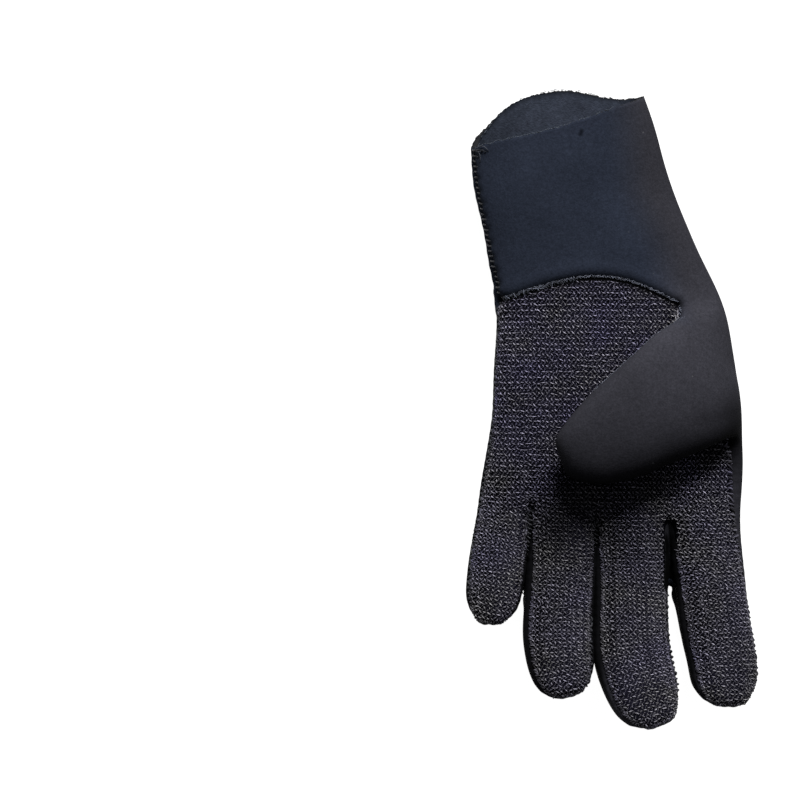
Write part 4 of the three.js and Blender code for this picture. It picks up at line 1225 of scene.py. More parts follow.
def make_piece(name, points, faces, finishes, slot, numbers=None, **stored_values):
    """A mesh from points in millimetres and arrays of faces with equal numbers of corners. Numbers
    say which finish each array of faces takes. Stored values are kept for each point."""
    points = points.copy()
    points[:, 2] = np.maximum(points[:, 2], 0)
    corners = np.concatenate([group.ravel() for group in faces]).astype(np.int32)
    totals = np.concatenate([np.full(len(group), group.shape[1]) for group in faces])
    starts = np.concatenate([[0], np.cumsum(totals)[:-1]]).astype(np.int32)
    mesh = bpy.data.meshes.new(name)
    mesh.vertices.add(len(points))
    mesh.vertices.foreach_set("co", (points * MM).astype(np.float32).ravel())
    mesh.loops.add(len(corners))
    mesh.loops.foreach_set("vertex_index", corners)
    mesh.polygons.add(len(totals))
    mesh.polygons.foreach_set("loop_start", starts)
    mesh.polygons.foreach_set("use_smooth", np.ones(len(totals), bool))
    for finish in finishes:
        mesh.materials.append(finish)
    if numbers is not None:
        each = np.concatenate([np.full(len(group), number) for group, number in zip(faces, numbers)])
        mesh.polygons.foreach_set("material_index", each.astype(np.int32))
    for value_name, values in stored_values.items():
        layer = mesh.attributes.new(value_name, "FLOAT", "POINT")
        layer.data.foreach_set("value", values.astype(np.float32))
    mesh.update(calc_edges=True)
    mesh.validate()
    piece = bpy.data.objects.new(name, mesh)
    bpy.context.scene.collection.objects.link(piece)
    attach(piece, "root")
    return piece


def border_of(quads, size):
    """The sides that no other cell shares. Two cells walk a shared side in opposite directions, so a
    side is on the border if no other is its reverse."""
    start, end = sides_of(quads).T
    return sides_of(quads)[~np.isin(start * size + end, end * size + start)]


def panel_mesh(label):
    """Points and faces of one sewn piece, and which point of the finest net each point comes from.
    Its outer edge is drawn back from the seam along the surface: the cross product of the
    direction out of it and the direction along its edge."""
    quads = fine_cells[fine_labels == label]
    inner_quads = inner_cells[inner_labels == label]
    size, inner_size = len(smooth), len(inner_wall)
    border = border_of(quads, size)
    sewn_edge = border[~np.isin(border, seams["hem"]).all(axis=1)]
    along = unit(smooth[sewn_edge[:, 1]] - smooth[sewn_edge[:, 0]])
    both_ends = [np.cross(smooth_normals[sewn_edge[:, side]], along)[:, None] for side in (0, 1)]
    inward = unit(gather(sewn_edge.ravel(), np.concatenate(both_ends, axis=1).reshape(-1, 3), size))
    shown = outer + inward * (SEAM_GAP / 2)
    rim = border_of(inner_quads, inner_size)
    half_way = inner_size + edge_between(rim, inner_edges, inner_size)
    drawn_in = inner_wall + (inward * (SEAM_GAP / 2))[:inner_size]
    a, b = rim.T
    rims = [np.stack([b, half_way, size + b], axis=1), np.stack([half_way, a, size + a], axis=1),
            np.stack([half_way, size + a, size + b], axis=1)]
    faces = [quads, size + inner_quads[:, ::-1], *rims]
    points = np.concatenate([shown, drawn_in])
    source = np.concatenate([np.arange(size), np.arange(inner_size)])
    used, numbers = np.unique(np.concatenate([group.ravel() for group in faces]), return_inverse=True)
    ends = np.cumsum([group.size for group in faces])[:-1]
    pieces = [part.reshape(group.shape) for part, group in zip(np.split(numbers, ends), faces)]
    return points[used], pieces, source[used]


# %% [markdown]
# Three values are stored with every point. Warmth says how neutral the black is: the front of the
# gauntlet is bluish, and the thumb side is neutral. Shade is painted light and shade: painted shade
# where the gauntlet curls into the wrist seam, along the gauntlet's sewn edge, on the side walls of
# the fingers and on the finger side of the thumb, and a few round places painted lighter or darker.
# The hem's shade is painted shade on the lining at the cut edge, and it also makes the lining darker
# toward the little finger.

# %% The four sewn pieces
WARM_LINE_COLUMNS = ("y", "x")
WARM_LINE = [(42, 24), (62, 20), (87, 9), (125, 4)]
WARM_WIDTH = 22.0
FINGER_SIDE_SHADE = 0.15
PLACE_COLUMNS = ("x", "y", "z", "width", "more")
# Painted light at the thumb's root and a gauntlet corner, painted shade in the index finger's web.
PAINTED_LIGHT_PLACES = [
    (38, 30, 31, 34, 0.36),
    (24, 2, 40, 20, 0.12),
    (-50, 96, 16, 16, 0.35),
    (24, -58, 17, 7, -0.85),
    (24, -70, 18, 7, -0.85),
]
THUMB_SHADOW = [(-18, -31, 30), (-5, -34, 30), (34, -21, 30), (49, -15, 25)]
LINING_LIGHT_COLUMNS = ("x", "light")
LINING_LIGHT = [(-50, 0.62), (-38, 0.77), (-24, 0.86), (-8, 0.86), (5, 1.0)]


def painted_light_spots(points, places):
    """How much painted light or painted shade each point gets from some round places: one plus a
    bell curve of the distance to each, multiplied."""
    light = np.ones(len(points))
    for row in places:
        spot = by_name(PLACE_COLUMNS, row)
        away = np.linalg.norm(points - np.array([spot["x"], spot["y"], spot["z"]]), axis=1)
        light *= 1 + spot["more"] * bell(away, spot["width"])
    return light


def darker_near(distance, depth, width):
    """How much light is left near a seam or an edge: one less a bell curve of the distance."""
    return 1 - depth * bell(distance, width)


def thumb_light(points, depth, width):
    """Painted shade at the thumb's finger side and painted shadow on the knit under it: how much
    light is left, darker near the bent line along that edge."""
    corner = np.array(THUMB_SHADOW, float)
    parts = zip(corner[:-1], corner[1:])
    away = np.min([nearest_on_line(points, start, end)[0] for start, end in parts], axis=0)
    return darker_near(away, depth, width)


warm_line = by_name(WARM_LINE_COLUMNS, np.array(WARM_LINE, float).T)
beyond_line = smooth[:, 0] - np.interp(smooth[:, 1], warm_line["y"], warm_line["x"])
warmth = smooth_step(beyond_line / WARM_WIDTH + 0.5)
past_wrist = rising(smooth[:, 1], start=warm_line["y"][0], span=-12)
warmth = np.where(smooth[:, 1] < warm_line["y"][0], np.maximum(warmth, past_wrist), warmth)
# Painted shade where the gauntlet curls into the wrist seam and along its sewn edge.
curl_shade = darker_near(distances["wrist"][0], depth=0.8, width=1.9)
edge_shade = darker_near(distances["gauntlet_edge"][0], depth=0.5, width=2.2)
# Painted shade on the fingers' side walls: those facing left, and those facing right between fingers.
on_fingers = rising(smooth[:, 1], start=-18, span=-14)
under_thumb = rising(smooth[:, 2], start=34, span=-6)
left_facing = rising(smooth_normals[:, 0], start=0.25, span=-0.5)
right_facing = rising(smooth_normals[:, 0], start=0.5, span=0.3)
beside_finger = right_facing * rising(smooth[:, 0], start=38, span=-6)
side_walls = on_fingers * under_thumb * np.maximum(left_facing, beside_finger)
finger_shade = mix(1.0, FINGER_SIDE_SHADE, side_walls)
# Painted shade on the bare knit ground beside the wrist seam.
wrist_groove_painted_shade = darker_near(distances["wrist"][0], depth=0.85, width=3.2)
# Painted shade on the lining at the cut edge, and the lining darker toward the little finger.
lining_light = by_name(LINING_LIGHT_COLUMNS, np.array(LINING_LIGHT).T)
hem_shade = (darker_near(hem_distance, depth=0.75, width=1.1)
             * np.interp(smooth[:, 0], lining_light["x"], lining_light["light"]))
# The panels' painted light and shade, all multiplied together.
panel_shade = curl_shade * edge_shade * finger_shade
panel_shade *= thumb_light(smooth, depth=0.97, width=15.5) * painted_light_spots(smooth, PAINTED_LIGHT_PLACES)

PANEL_LOOKS = {
    "back_panel": ("back_foam", neoprene, "neoprene"),
    "palm_panel": ("palm_knit", knit_ground, "aramid_knit"),
    "middle_finger_back": ("middle_finger_foam", neoprene, "neoprene"),
    "ring_finger_back": ("ring_finger_foam", neoprene, "neoprene"),
}
for name, (shown_name, outside, slot) in PANEL_LOOKS.items():
    label = PANELS.index(name)
    points, faces, source = panel_mesh(label)
    shade = panel_shade * (wrist_groove_painted_shade if label == PALM else 1)
    piece = make_piece(shown_name, points, faces, [outside, lining, cut_foam], slot, (0, 1, 2, 2, 2),
                       warmth=warmth[source], shade=shade[source], hem_shade=hem_shade[source])
    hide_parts(name)
    print(shown_name, len(piece.data.vertices), "points", len(piece.data.polygons), "faces")


# %% [markdown]
# ## Tubes along many short paths
#
# Yarn loops, stitches and thread are all short tubes. One function carries a ring along every path
# at once: the ring turns with the path, and its ends are closed with a flat cap.

# %% Many tubes at once
def tubes(paths, up, radius, sides):
    """Points and faces of a tube along each path. A ring point is the path's point plus the radius
    times (cosine times the side direction plus sine times the raised direction)."""
    count, steps, _ = paths.shape
    ahead = unit(np.gradient(paths, axis=1))
    side = unit(np.cross(ahead, up))
    raised = np.cross(side, ahead)
    turn = np.arange(sides) / sides * 2 * np.pi
    ring = side[:, :, None] * np.cos(turn)[:, None] + raised[:, :, None] * np.sin(turn)[:, None]
    points = paths[:, :, None] + ring * np.broadcast_to(radius, (count, steps))[..., None, None]
    number = np.arange(count * steps * sides).reshape(count, steps, sides)
    around = np.roll(number, -1, axis=2)
    corners = [number[:, :-1], number[:, 1:], around[:, 1:], around[:, :-1]]
    walls = np.stack(corners, axis=-1).reshape(-1, 4)
    return points.reshape(-1, 3), [walls, number[:, 0], number[:, -1, ::-1]]


def bent_paths(place, side, ahead, out, reach, lean, rise):
    """A path at each place: every step of it lies so far to the side, ahead and out."""
    return (place[:, None] + side[:, None] * reach[..., None] + ahead[:, None] * lean[..., None]
            + out[:, None] * rise[..., None])


def for_each_point(values, sides):
    """A value for each step of each path, repeated for the points of its ring."""
    return np.repeat(values.ravel(), sides)


# %% [markdown]
# ## The knit's loops
#
# Seen close, the palm is rows of slanting raised loops on a dark ground, every second row shifted
# by half a loop, with a shorter, steeper loop between two long ones, and fuzz between the rows. Each
# loop is real geometry here, because the palm fills much of the glove and its edge looks crumbly in
# outline. A bump map would show a flat edge. The flat cloth's lattice is found on the curved surface
# by asking, for each small triangle, whether the lattice point nearest to its middle lies in it.

# %% Lattice points on the knit
LOOP_PITCH = np.array([1.75, 2.26])
# Painted shadow below the thumb's tip and in a groove, painted light that lifts part of a shadow.
KNIT_PAINTED_LIGHT_PLACES = [
    (-21, -49, 18, 16, -0.8),
    (6, -57, 19, 15, -0.42),
    (30, -31, 19, 8, 1.2),
    (-30, -39, 18, 4, -0.6),
]


def lattice_hits(pitch, offset):
    """Lattice points that fall in a small triangle of the knit: their whole numbers, their place,
    the direction out, the two directions of the cloth on the surface, the nearest seam, the distance
    to the wrist seam, and the painted light there: painted shadow under the thumb and a few round
    places lighter or darker."""
    quads = fine_cells[fine_labels == PALM]
    corner = np.concatenate([quads[:, [0, 1, 2]], quads[:, [0, 2, 3]]])
    flat = cloth[corner] - offset * pitch
    number = np.round(flat.mean(axis=1) / pitch)
    wanted = number * pitch
    one, two, target = flat[:, 1] - flat[:, 0], flat[:, 2] - flat[:, 0], wanted - flat[:, 0]
    area = one[:, 0] * two[:, 1] - one[:, 1] * two[:, 0]
    area = np.where(np.abs(area) < 1e-9, 1e-9, area)
    s = (target[:, 0] * two[:, 1] - target[:, 1] * two[:, 0]) / area
    t = (one[:, 0] * target[:, 1] - one[:, 1] * target[:, 0]) / area
    inside = (s >= 0) & (t >= 0) & (s + t < 1)
    corner, s, t, one, two, area = (part[inside] for part in (corner, s, t, one, two, area))
    place = outer[corner[:, 0]]
    first, second = outer[corner[:, 1]] - place, outer[corner[:, 2]] - place
    across = (first * two[:, 1:] - second * one[:, 1:]) / area[:, None]
    along = (second * one[:, :1] - first * two[:, :1]) / area[:, None]
    return {
        "number": number[inside].astype(int), "place": place + first * s[:, None] + second * t[:, None],
        "out": unit(smooth_normals[corner].mean(axis=1)), "across": unit(across), "along": unit(along),
        "seam": nearest_seam[corner].mean(axis=1), "wrist": distances["wrist"][0][corner].mean(axis=1),
        "light": thumb_light(place, depth=0.7, width=8.0) * painted_light_spots(place, KNIT_PAINTED_LIGHT_PLACES),
    }


def chosen(hits, mask):
    """The hits for which the mask holds."""
    return {name: values[mask] for name, values in hits.items()}


YARN_COLUMNS = ("half", "slant", "slant_spread", "height", "sunk", "thickness", "shade", "steps", "sides")
LONG_LOOP = (0.86, -28, 15, 0.55, 0.1, 0.26, 1.3, 5, 5)
SHORT_LOOP = (0.66, -40, 28, 0.5, 0.1, 0.25, 1.15, 4, 5)
FUZZ = (0.62, -20, 55, 0.35, 0.05, 0.2, 1.0, 3, 4)
FINE_FUZZ = (0.42, 0, 80, 0.38, 0.05, 0.15, 1.35, 3, 3)
FINE_FUZZ_OFFSETS = (0.2, 0.35, 0.65, 0.8)


def yarn(hits, half, slant, slant_spread, height, sunk, thickness, shade, steps, sides):
    """Short arched tubes on lattice points, and how bright each point of them is. A place along a
    loop goes from -1 to 1: it moves by its half length turned by the slant, and rises by one less
    the square of the place."""
    count = len(hits["place"])
    turn = np.radians(slant + seed.normal(0, slant_spread, count))[:, None]
    half = (half * seed.uniform(0.8, 1.2, count))[:, None]
    height = (height * seed.uniform(0.6, 1.3, count))[:, None]
    shift = seed.normal(0, 0.15, (count, 2))
    t = np.linspace(-1, 1, steps)[None, :]
    a = half * t * np.cos(turn) + shift[:, :1]
    b = half * t * np.sin(turn) + shift[:, 1:]
    rise = height * (1 - t**2) - sunk
    paths = bent_paths(hits["place"], hits["across"], hits["along"], hits["out"], a, b, rise)
    thick = thickness * (1 - 0.3 * t**2) * seed.uniform(0.8, 1.15, count)[:, None]
    # Random tone per loop, times the painted light there, with painted shade toward the loop's ends.
    bright = shade * (hits["light"] * seed.uniform(0.65, 1.35, count))[:, None] * (1 - 0.5 * t**2)
    points, faces = tubes(paths, np.repeat(hits["out"][:, None], steps, axis=1), thick, sides)
    return points, faces, for_each_point(bright, sides)


def make_yarn(name, hits, row, finish):
    """One piece of many loops."""
    points, faces, shade = yarn(hits, **by_name(YARN_COLUMNS, row))
    print(name, len(hits["place"]), "loops")
    return make_piece(name, points, faces, [finish], "aramid_knit", shade=shade)


KEEP_FROM_SEAM = 0.6
KEEP_FROM_WRIST = 1.2
LIGHTER_TOWARD_WRIST = 0.14
INDEX_WEB = {"left": 21.4, "right": 27.2, "finger_end": -76.0, "palm_end": -47.5}
INDEX_SIDE = {"left": 42.0, "right": 60.0, "finger_end": -62.0, "palm_end": -10.0}
INDEX_SIDE_BARE = 1.7


def within(points, left, right, finger_end, palm_end):
    """Which points lie in an area of the plan."""
    x, y = points[:, 0], points[:, 1]
    return (x > left) & (x < right) & (y > finger_end) & (y < palm_end)


def on_knit(offset):
    """Lattice points that are clear of the seams, of the hollow where the web between the middle
    finger and the index finger pulls the knit down, and of the groove beside the knots down the side of
    the index finger. In both, the bare near-black ground is painted shade. The loops also get painted
    shade near the wrist seam, and are lighter toward the wrist."""
    hits = lattice_hits(LOOP_PITCH, offset)
    in_groove = within(hits["place"], **INDEX_SIDE) & (hits["seam"] < INDEX_SIDE_BARE)
    bare = within(hits["place"], **INDEX_WEB) | in_groove
    # Painted shade near the wrist seam, and the yarn lighter toward the wrist.
    hits["light"] *= darker_near(hits["wrist"], depth=0.75, width=2.6)
    hits["light"] *= 1 + LIGHTER_TOWARD_WRIST * rising(hits["place"][:, 1], start=-10, span=45)
    return chosen(hits, (hits["seam"] > KEEP_FROM_SEAM) & (hits["wrist"] > KEEP_FROM_WRIST) & ~bare)


on_rows = on_knit(0.0)
is_long = on_rows["number"].sum(axis=1) % 2 == 0
make_yarn("knit_long_loops", chosen(on_rows, is_long), LONG_LOOP, knit_yarn)
make_yarn("knit_short_loops", chosen(on_rows, ~is_long), SHORT_LOOP, knit_yarn)
make_yarn("knit_fuzz", on_knit(0.5), FUZZ, knit_fuzz)
for number, offset in enumerate(FINE_FUZZ_OFFSETS):
    make_yarn(f"knit_fine_fuzz_{number + 1}", on_knit(offset), FINE_FUZZ, knit_fuzz)


# %% [markdown]
# ## Thread
#
# The knit is joined to the foam with an overlock stitch: short threads that cross the seam close
# together, with loose yarn ends between them that make the outline crumbly. The gauntlet is closed
# down its edge with thick black whip stitches, and the wrist seam shows fine grey-blue ones. Knots
# stand out at the edges of the fingers, and a light chain runs along the thumb's edge.

# %% Places along a seam
def along_line(at, walked, line):
    """A line's points, or its directions, at distances walked along it."""
    return np.stack([np.interp(at, walked, line[:, k]) for k in range(3)], axis=-1)


def seam_frame(seam, pitch, start, end):
    """Evenly spaced places along part of a seam, from the start share to the end share of its
    length, with the directions out of the surface, along the seam and to its side."""
    numbers = seams[seam]
    walked = walked_along(smooth[numbers])
    at = np.arange(start * walked[-1] + pitch / 2, end * walked[-1], pitch)
    place = along_line(at, walked, outer[numbers])
    out = unit(along_line(at, walked, smooth_normals[numbers]))
    ahead = unit(np.gradient(place, axis=0))
    return place, out, ahead, unit(np.cross(out, ahead))


def away_from_web(place, *directions):
    """The places outside the index finger's web, with their directions."""
    kept = ~within(place, **INDEX_WEB)
    return [part[kept] for part in (place, *directions)]


print("length of the wrist seam:", walked_along(smooth[seams["wrist"]])[-1].round(1), "mm")


# %% Stitches across the seams
STITCH_STEPS = 6
STITCH_SIDES = 6
STITCH_COLUMNS = ("seam", "start", "end", "pitch", "reach", "shift", "lean", "lean_spread", "height", "lift",
                  "radius")
STITCHES = {
    "gauntlet_stitches": ("gauntlet_edge", 0.0, 1.0, 2.2, 1.9, 0.7, 0.5, 0.12, 0.75, 0.1, 0.36),
    "knit_edge_stitches": ("knit_edge", 0.0, 1.0, 1.15, 0.85, 0.1, 0.3, 0.55, 0.6, 0.35, 0.22),
    "thumb_edge_stitches": ("thumb_edge", 0.0, 0.88, 1.6, 1.1, 0.0, 0.5, 0.12, 0.45, 0.4, 0.26),
    "arch_stitches": ("arch", 0.0, 1.0, 1.8, 1.2, 0.0, 0.6, 0.12, 0.45, 0.45, 0.24),
    "finger_part_stitches": ("finger_part", 0.0, 1.0, 1.8, 1.2, 0.0, 0.6, 0.12, 0.45, 0.45, 0.24),
    "index_side_knots": ("knit_edge", 0.92, 1.0, 2.2, 1.25, 0.5, 0.4, 0.6, 0.9, 0.4, 0.4),
    "index_tip_knots": ("knit_edge", 0.87, 0.92, 2.3, 0.7, -0.6, 0.3, 0.7, 0.6, 0.4, 0.4),
    "middle_side_knots": ("knit_edge", 0.636, 0.7, 2.3, 0.7, -0.9, 0.3, 0.7, 0.75, 0.4, 0.46),
    "ring_side_knots": ("knit_edge", 0.39, 0.43, 2.3, 0.7, -0.8, 0.3, 0.7, 0.7, 0.4, 0.42),
    "palm_side_knots": ("knit_edge", 0.0, 0.17, 2.2, 0.7, -0.7, 0.3, 0.7, 0.7, 0.4, 0.42),
    "thumb_edge_chain": ("thumb_edge", 0.6, 1.0, 0.8, 0.5, 0.0, 0.2, 0.5, 0.2, 0.45, 0.11),
    "wrist_left_stitches": ("wrist", 0.0, 0.45, 0.68, 1.3, 0.5, 0.0, 1.1, 0.3, 0.45, 0.11),
    "wrist_right_stitches": ("wrist", 0.45, 0.98, 0.65, 0.5, 0.5, 0.0, 0.8, 0.2, 0.65, 0.11),
}


def whip_stitches(seam, start, end, pitch, reach, shift, lean, lean_spread, height, lift, radius):
    """A thread over the seam at every pitch: from one side to the other, leaning along the seam, and
    raised by a parabola."""
    place, out, ahead, side = away_from_web(*seam_frame(seam, pitch, start, end))
    count = len(place)
    t = np.linspace(-1, 1, STITCH_STEPS)[None, :]
    reach = (reach * seed.uniform(0.7, 1.3, count))[:, None] * t + shift
    lean = (lean + seed.normal(0, lean_spread, count))[:, None] * t
    rise = height * (1 - t**2) * seed.uniform(0.7, 1.3, count)[:, None] + lift
    paths = bent_paths(place, side, ahead, out, reach, lean, rise)
    up = np.repeat(out[:, None], STITCH_STEPS, axis=1)
    points, faces = tubes(paths, up, radius * (1 - 0.35 * t**4), STITCH_SIDES)
    bright = (1.5 * seed.uniform(0, 1, count)**1.5 + 0.15)[:, None]
    return points, faces, for_each_point(np.broadcast_to(bright, (count, STITCH_STEPS)), STITCH_SIDES)


stitch_finish = {
    "knit_edge_stitches": knit_fuzz,
    "index_side_knots": knit_fuzz,
    "thumb_edge_stitches": knit_fuzz,
    "wrist_left_stitches": grey_thread,
    "wrist_right_stitches": grey_thread,
    "thumb_edge_chain": grey_thread,
}
for name, row in STITCHES.items():
    points, faces, shade = whip_stitches(**by_name(STITCH_COLUMNS, row))
    make_piece(name, points, faces, [stitch_finish.get(name, black_thread)], "thread", shade=shade)
    print(name, len(faces[1]), "stitches")


# %% [markdown]
# The loose ends start inside the knit and stand out past the seam, each with its own length and
# lean. They are what makes the fingers' right-hand edges look rough in the photograph.

# %% Loose ends along the knit's edge
TUFT_STEPS = 4
TUFT_SIDES = 5
TUFT_START = 0.8
TUFT_COLUMNS = ("seam", "start", "end", "pitch", "least", "most", "brightest")
TUFTS = {
    "knit_edge_tufts": ("knit_edge", 0.0, 1.0, 0.75, 0.2, 1.3, 1.5),
    "ring_side_tufts": ("knit_edge", 0.385, 0.45, 0.4, 0.3, 2.3, 0.7),
    "middle_side_tufts": ("knit_edge", 0.628, 0.71, 0.4, 0.3, 2.3, 0.7),
    "index_side_tufts": ("knit_edge", 0.865, 0.93, 0.5, 0.3, 2.2, 0.7),
}


def tufts(seam, start, end, pitch, least, most, brightest):
    """Short curved tubes that start inside the edge and end between the least and the most beyond
    it."""
    place, out, ahead, side = away_from_web(*seam_frame(seam, pitch, start, end))
    count = len(place)
    t = np.linspace(0, 1, TUFT_STEPS)[None, :]
    reach = TUFT_START - (TUFT_START + seed.uniform(least, most, count))[:, None] * t
    lean = seed.normal(0, 0.55, count)[:, None] * t**1.5
    rise = seed.uniform(0.3, 0.95, count)[:, None] * np.sin(np.pi * (0.15 + 0.75 * t)) + 0.1
    paths = bent_paths(place, side, ahead, out, reach, lean, rise)
    thick = seed.uniform(0.15, 0.28, count)[:, None] * (1 - 0.45 * t)
    points, faces = tubes(paths, np.repeat(out[:, None], TUFT_STEPS, axis=1), thick, TUFT_SIDES)
    # Random tone, times the painted light and shadow of round places on the knit.
    bright = (seed.uniform(0.2, 1, count) * brightest * painted_light_spots(place, KNIT_PAINTED_LIGHT_PLACES))[:, None]
    return points, faces, for_each_point(np.broadcast_to(bright, (count, TUFT_STEPS)), TUFT_SIDES)


for name, row in TUFTS.items():
    points, faces, shade = tufts(**by_name(TUFT_COLUMNS, row))
    make_piece(name, points, faces, [knit_fuzz], "aramid_knit", shade=shade)
    print(name, len(faces[1]), "loose ends")

# %% [markdown]
# Over the wrist seam one grey-blue thread swings from side to side, and a fine light one shows along
# the seam at the thumb's back. Stitches painted on the foam would be flat, and blur from nearby.

# %% The wrist's zigzag and the light seam line along the thumb
THREAD_SIDES = 6
THREAD_COLUMNS = ("seam", "start", "end", "pitch", "first_swing", "last_swing", "offset", "height", "radius")
THREADS = {
    "wrist_thread": ("wrist", 0.0, 1.0, 1.25, 0.55, 0.4, 0.75, 0.7, 0.10),
    "thumb_line_thread": ("thumb_line", 0.34, 0.8, 1.3, 0.2, 0.2, 0.0, 0.1, 0.09),
}


def zigzag(seam, start, end, pitch, first_swing, last_swing, offset, height, radius):
    """One thread that goes from side to side of a line beside the seam, over and under in turn. Its
    swing goes straight from the first value to the last."""
    place, out, _, side = seam_frame(seam, pitch / 2, start, end)
    step = np.arange(len(place))
    swing = np.linspace(first_swing, last_swing, len(step)) * np.sin(step * np.pi / 2)
    sway = (swing + offset + seed.normal(0, 0.13, len(step)))[:, None]
    height = (height + 0.15 * np.cos(step * np.pi) + seed.normal(0, 0.05, len(step)))[:, None]
    path = place + side * sway + out * height
    thick = radius * seed.uniform(0.8, 1.2, len(step))
    points, faces = tubes(path[None], out[None], thick, THREAD_SIDES)
    return points, faces, for_each_point(seed.uniform(0.3, 1.4, len(step)), THREAD_SIDES)


for name, row in THREADS.items():
    points, faces, shade = zigzag(**by_name(THREAD_COLUMNS, row))
    make_piece(name, points, faces, [grey_thread], "thread", shade=shade)
    print(name, len(points) // THREAD_SIDES, "turns")

# %% [markdown]
# At the hem's left corner the thread of the gauntlet's seam ends, and a few loose strands of it lie
# over the foam. Each is an arc of its own, because strands in a fan of equal ones look combed.

# %% Loose strands at the hem's corner
CORNER_STRANDS = 7
STRAND_STEPS = 9
STRAND_SIDES = 6
STRAND_RADIUS = 0.17
STRAND_REACH = 14


def corner_strands():
    """Arcs that start close together and fan out: a straight line at an angle, bent sideways by a
    sine, and laid on the nearest point of the surface."""
    corner = outer[seams["hem"][0]]
    near = outer[(np.linalg.norm(outer - corner, axis=1) < STRAND_REACH) & (smooth_normals[:, 2] > 0.1)]
    away = np.radians(seed.uniform(-80, 10, CORNER_STRANDS))[:, None]
    t = np.linspace(0, 1, STRAND_STEPS)[None, :]
    length = seed.uniform(2.5, 6.0, CORNER_STRANDS)[:, None]
    bend = seed.uniform(-1.6, 1.6, CORNER_STRANDS)[:, None] * np.sin(np.pi * t)
    x = corner[0] + length * t * np.cos(away) - bend * np.sin(away)
    y = corner[1] + length * t * np.sin(away) + bend * np.cos(away) - 0.8
    apart = (x[..., None] - near[:, 0])**2 + (y[..., None] - near[:, 1])**2
    z = near[apart.argmin(axis=-1), 2] + 0.3 + 0.5 * np.sin(np.pi * t)
    paths = np.stack([x, y, z], axis=-1)
    up = np.broadcast_to(np.array([0.0, 0.0, 1.0]), paths.shape)
    points, faces = tubes(paths, up, STRAND_RADIUS, STRAND_SIDES)
    shade = np.broadcast_to(seed.uniform(0.1, 0.5, (CORNER_STRANDS, 1)), x.shape)
    return points, faces, for_each_point(shade, STRAND_SIDES)


points, faces, shade = corner_strands()
make_piece("hem_corner_strands", points, faces, [grey_thread], "thread", shade=shade)
print("hem_corner_strands", len(faces[1]), "strands")

# %% [markdown]
# ## The lining's edge
#
# Where the foam is cut at the hem, light strokes show as a fine broken line: along the outer edge on
# the palm side, and along the inner edge on the back. They are partly the pale lining peeping out and
# partly a painted highlight on the lit cut edge.

# %% Lining at the hem
STROKE_STEPS = 4
STROKE_SIDES = 5
HEM_STROKE_COLUMNS = ("first", "last", "depth", "pitch", "length", "radius", "kept")
HEM_STROKES = {
    # Partly the lining's own edge, partly a painted highlight on the lit cut edge.
    "palm_hem_lining_highlight": (0, PALM_COLUMNS, 0.05, 1.5, 1.3, 0.15, 0.85),
    "back_hem_lining_highlight": (BACK_START, RING_SIZE, WALL, 1.7, 1.3, 0.13, 0.6),
}


def hem_strokes(first, last, depth, pitch, length, radius, kept):
    """Short strokes along the hem from one column of the net to another, some left out. Depth is how
    far in from the outer face they lie."""
    cells_per_column = (len(seams["hem"]) - 1) // RING_SIZE
    part = seams["hem"][first * cells_per_column:last * cells_per_column + 1]
    line = outer[part] - through_wall[part] * depth
    walked = walked_along(line)
    at = np.arange(pitch, walked[-1] - pitch, pitch)
    at = at[seed.uniform(0, 1, len(at)) < kept]
    t = np.linspace(-0.5, 0.5, STROKE_STEPS)[None, :]
    along = at[:, None] + t * length * seed.uniform(0.6, 1.4, len(at))[:, None]
    paths = along_line(along, walked, line) + seed.normal(0, 0.06, (len(at), 1, 3))
    up = np.broadcast_to(np.array([0.0, 0.2, 1.0]), paths.shape)
    return tubes(paths, up, radius, STROKE_SIDES)


for name, row in HEM_STROKES.items():
    points, faces = hem_strokes(**by_name(HEM_STROKE_COLUMNS, row))
    make_piece(name, points, faces, [lining_fluff_and_highlight], "lining")
    print(name, len(faces[1]), "strokes")

# %% [markdown]
# ## Floor, light and camera
#
# The photograph is a product shot from straight above, on white without a shadow. The floor glows
# like a light table, which keeps it white under weak bounce light.

# %% Floor
FLOOR_HALF = 3.0
FLOOR_HEIGHT = -0.0002
FLOOR_GLOW = 0.98
FLOOR_SIGNS = ((-1, -1), (1, -1), (1, 1), (-1, 1))
floor_mesh = bpy.data.meshes.new("floor")
floor_corners = [(x * FLOOR_HALF, y * FLOOR_HALF, FLOOR_HEIGHT) for x, y in FLOOR_SIGNS]
floor_mesh.from_pydata(floor_corners, [], [(0, 1, 2, 3)])
floor = bpy.data.objects.new("floor", floor_mesh)
bpy.context.scene.collection.objects.link(floor)
light_table = new_finish("light_table", (0.12, 0.12, 0.12), roughness=0.9, gloss=0.0)
main_shader(light_table).inputs["Emission Color"].default_value = (1, 1, 1, 1)
main_shader(light_table).inputs["Emission Strength"].default_value = FLOOR_GLOW
floor_mesh.materials.append(light_table)
floor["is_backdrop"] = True
print("floor:", 2 * FLOOR_HALF, "m wide")


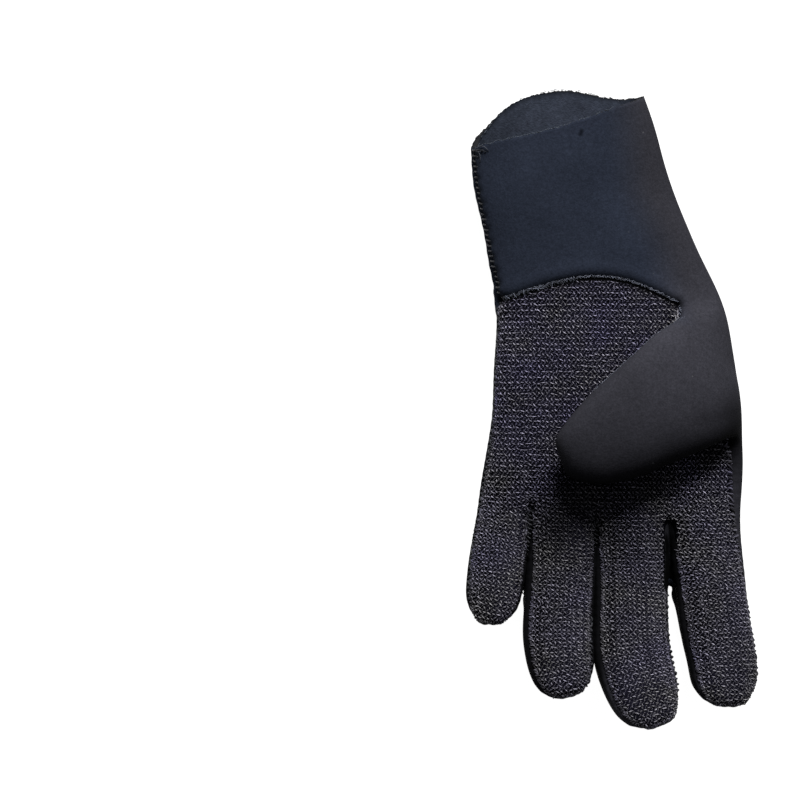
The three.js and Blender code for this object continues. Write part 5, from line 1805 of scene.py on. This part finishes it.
# %% [markdown]
# The light is soft but comes from the cuff's side, so the thumb's finger side falls off to black and
# its shadow lies on the knit. One large lamp does nearly all of it, and a weak one from above lifts
# the darkest hollows.

# %% Light
WORLD_LIGHT = 0.1


def soft_light(name, place, size, power):
    """A square area light that looks from its place at the glove."""
    light = bpy.data.lights.new(name, "AREA")
    light.shape = "SQUARE"
    light.size = size
    light.energy = power
    lamp = bpy.data.objects.new(name, light)
    scene.collection.objects.link(lamp)
    lamp.location = place
    lamp.rotation_mode = "QUATERNION"
    lamp.rotation_quaternion = (-Vector(place)).to_track_quat("-Z", "Y")
    print(name, power, "W")


scene = bpy.context.scene
scene.view_settings.view_transform = "Standard"
world = bpy.data.worlds.new("studio")
world.use_nodes = True
world.node_tree.nodes["Background"].inputs["Color"].default_value = (1.0, 1.0, 1.0, 1)
world.node_tree.nodes["Background"].inputs["Strength"].default_value = WORLD_LIGHT
scene.world = world
soft_light("cuff_light", (0.1, 1.35, 1.08), size=0.6, power=100)
soft_light("top_light", (0, 0, 1.5), size=1.0, power=4)

# %% [markdown]
# The camera looks straight down from arm's length, and stands to the left of the glove, because the
# glove lies right of the middle in the photograph.

# %% Camera
CAMERA_X = -0.0865
CAMERA_Y = 0.0020
CAMERA_HEIGHT = 0.85
FRAME_WIDTH = 0.336
SENSOR_WIDTH = 36
camera_data = bpy.data.cameras.new("camera")
camera_data.sensor_width = SENSOR_WIDTH
camera_data.lens = SENSOR_WIDTH * CAMERA_HEIGHT / FRAME_WIDTH
camera = bpy.data.objects.new("camera", camera_data)
camera.location = (CAMERA_X, CAMERA_Y, CAMERA_HEIGHT)
scene.collection.objects.link(camera)
scene.camera = camera
print("lens:", round(camera_data.lens, 1), "mm")

# %% [markdown]
# ## Sizes
#
# The box of everything visible is printed beside the box of the solids, so that the two can be
# compared. Fuzz and loose ends may stand out a little.

# %% Print the sizes
visual_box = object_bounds()
sizes = {"cad": [list(corner) for corner in cad_box], "visual": [list(corner) for corner in visual_box]}
for box_name, corners in sizes.items():
    print(box_name, [round(1000 * value, 1) for corner in corners for value in corner], "mm")
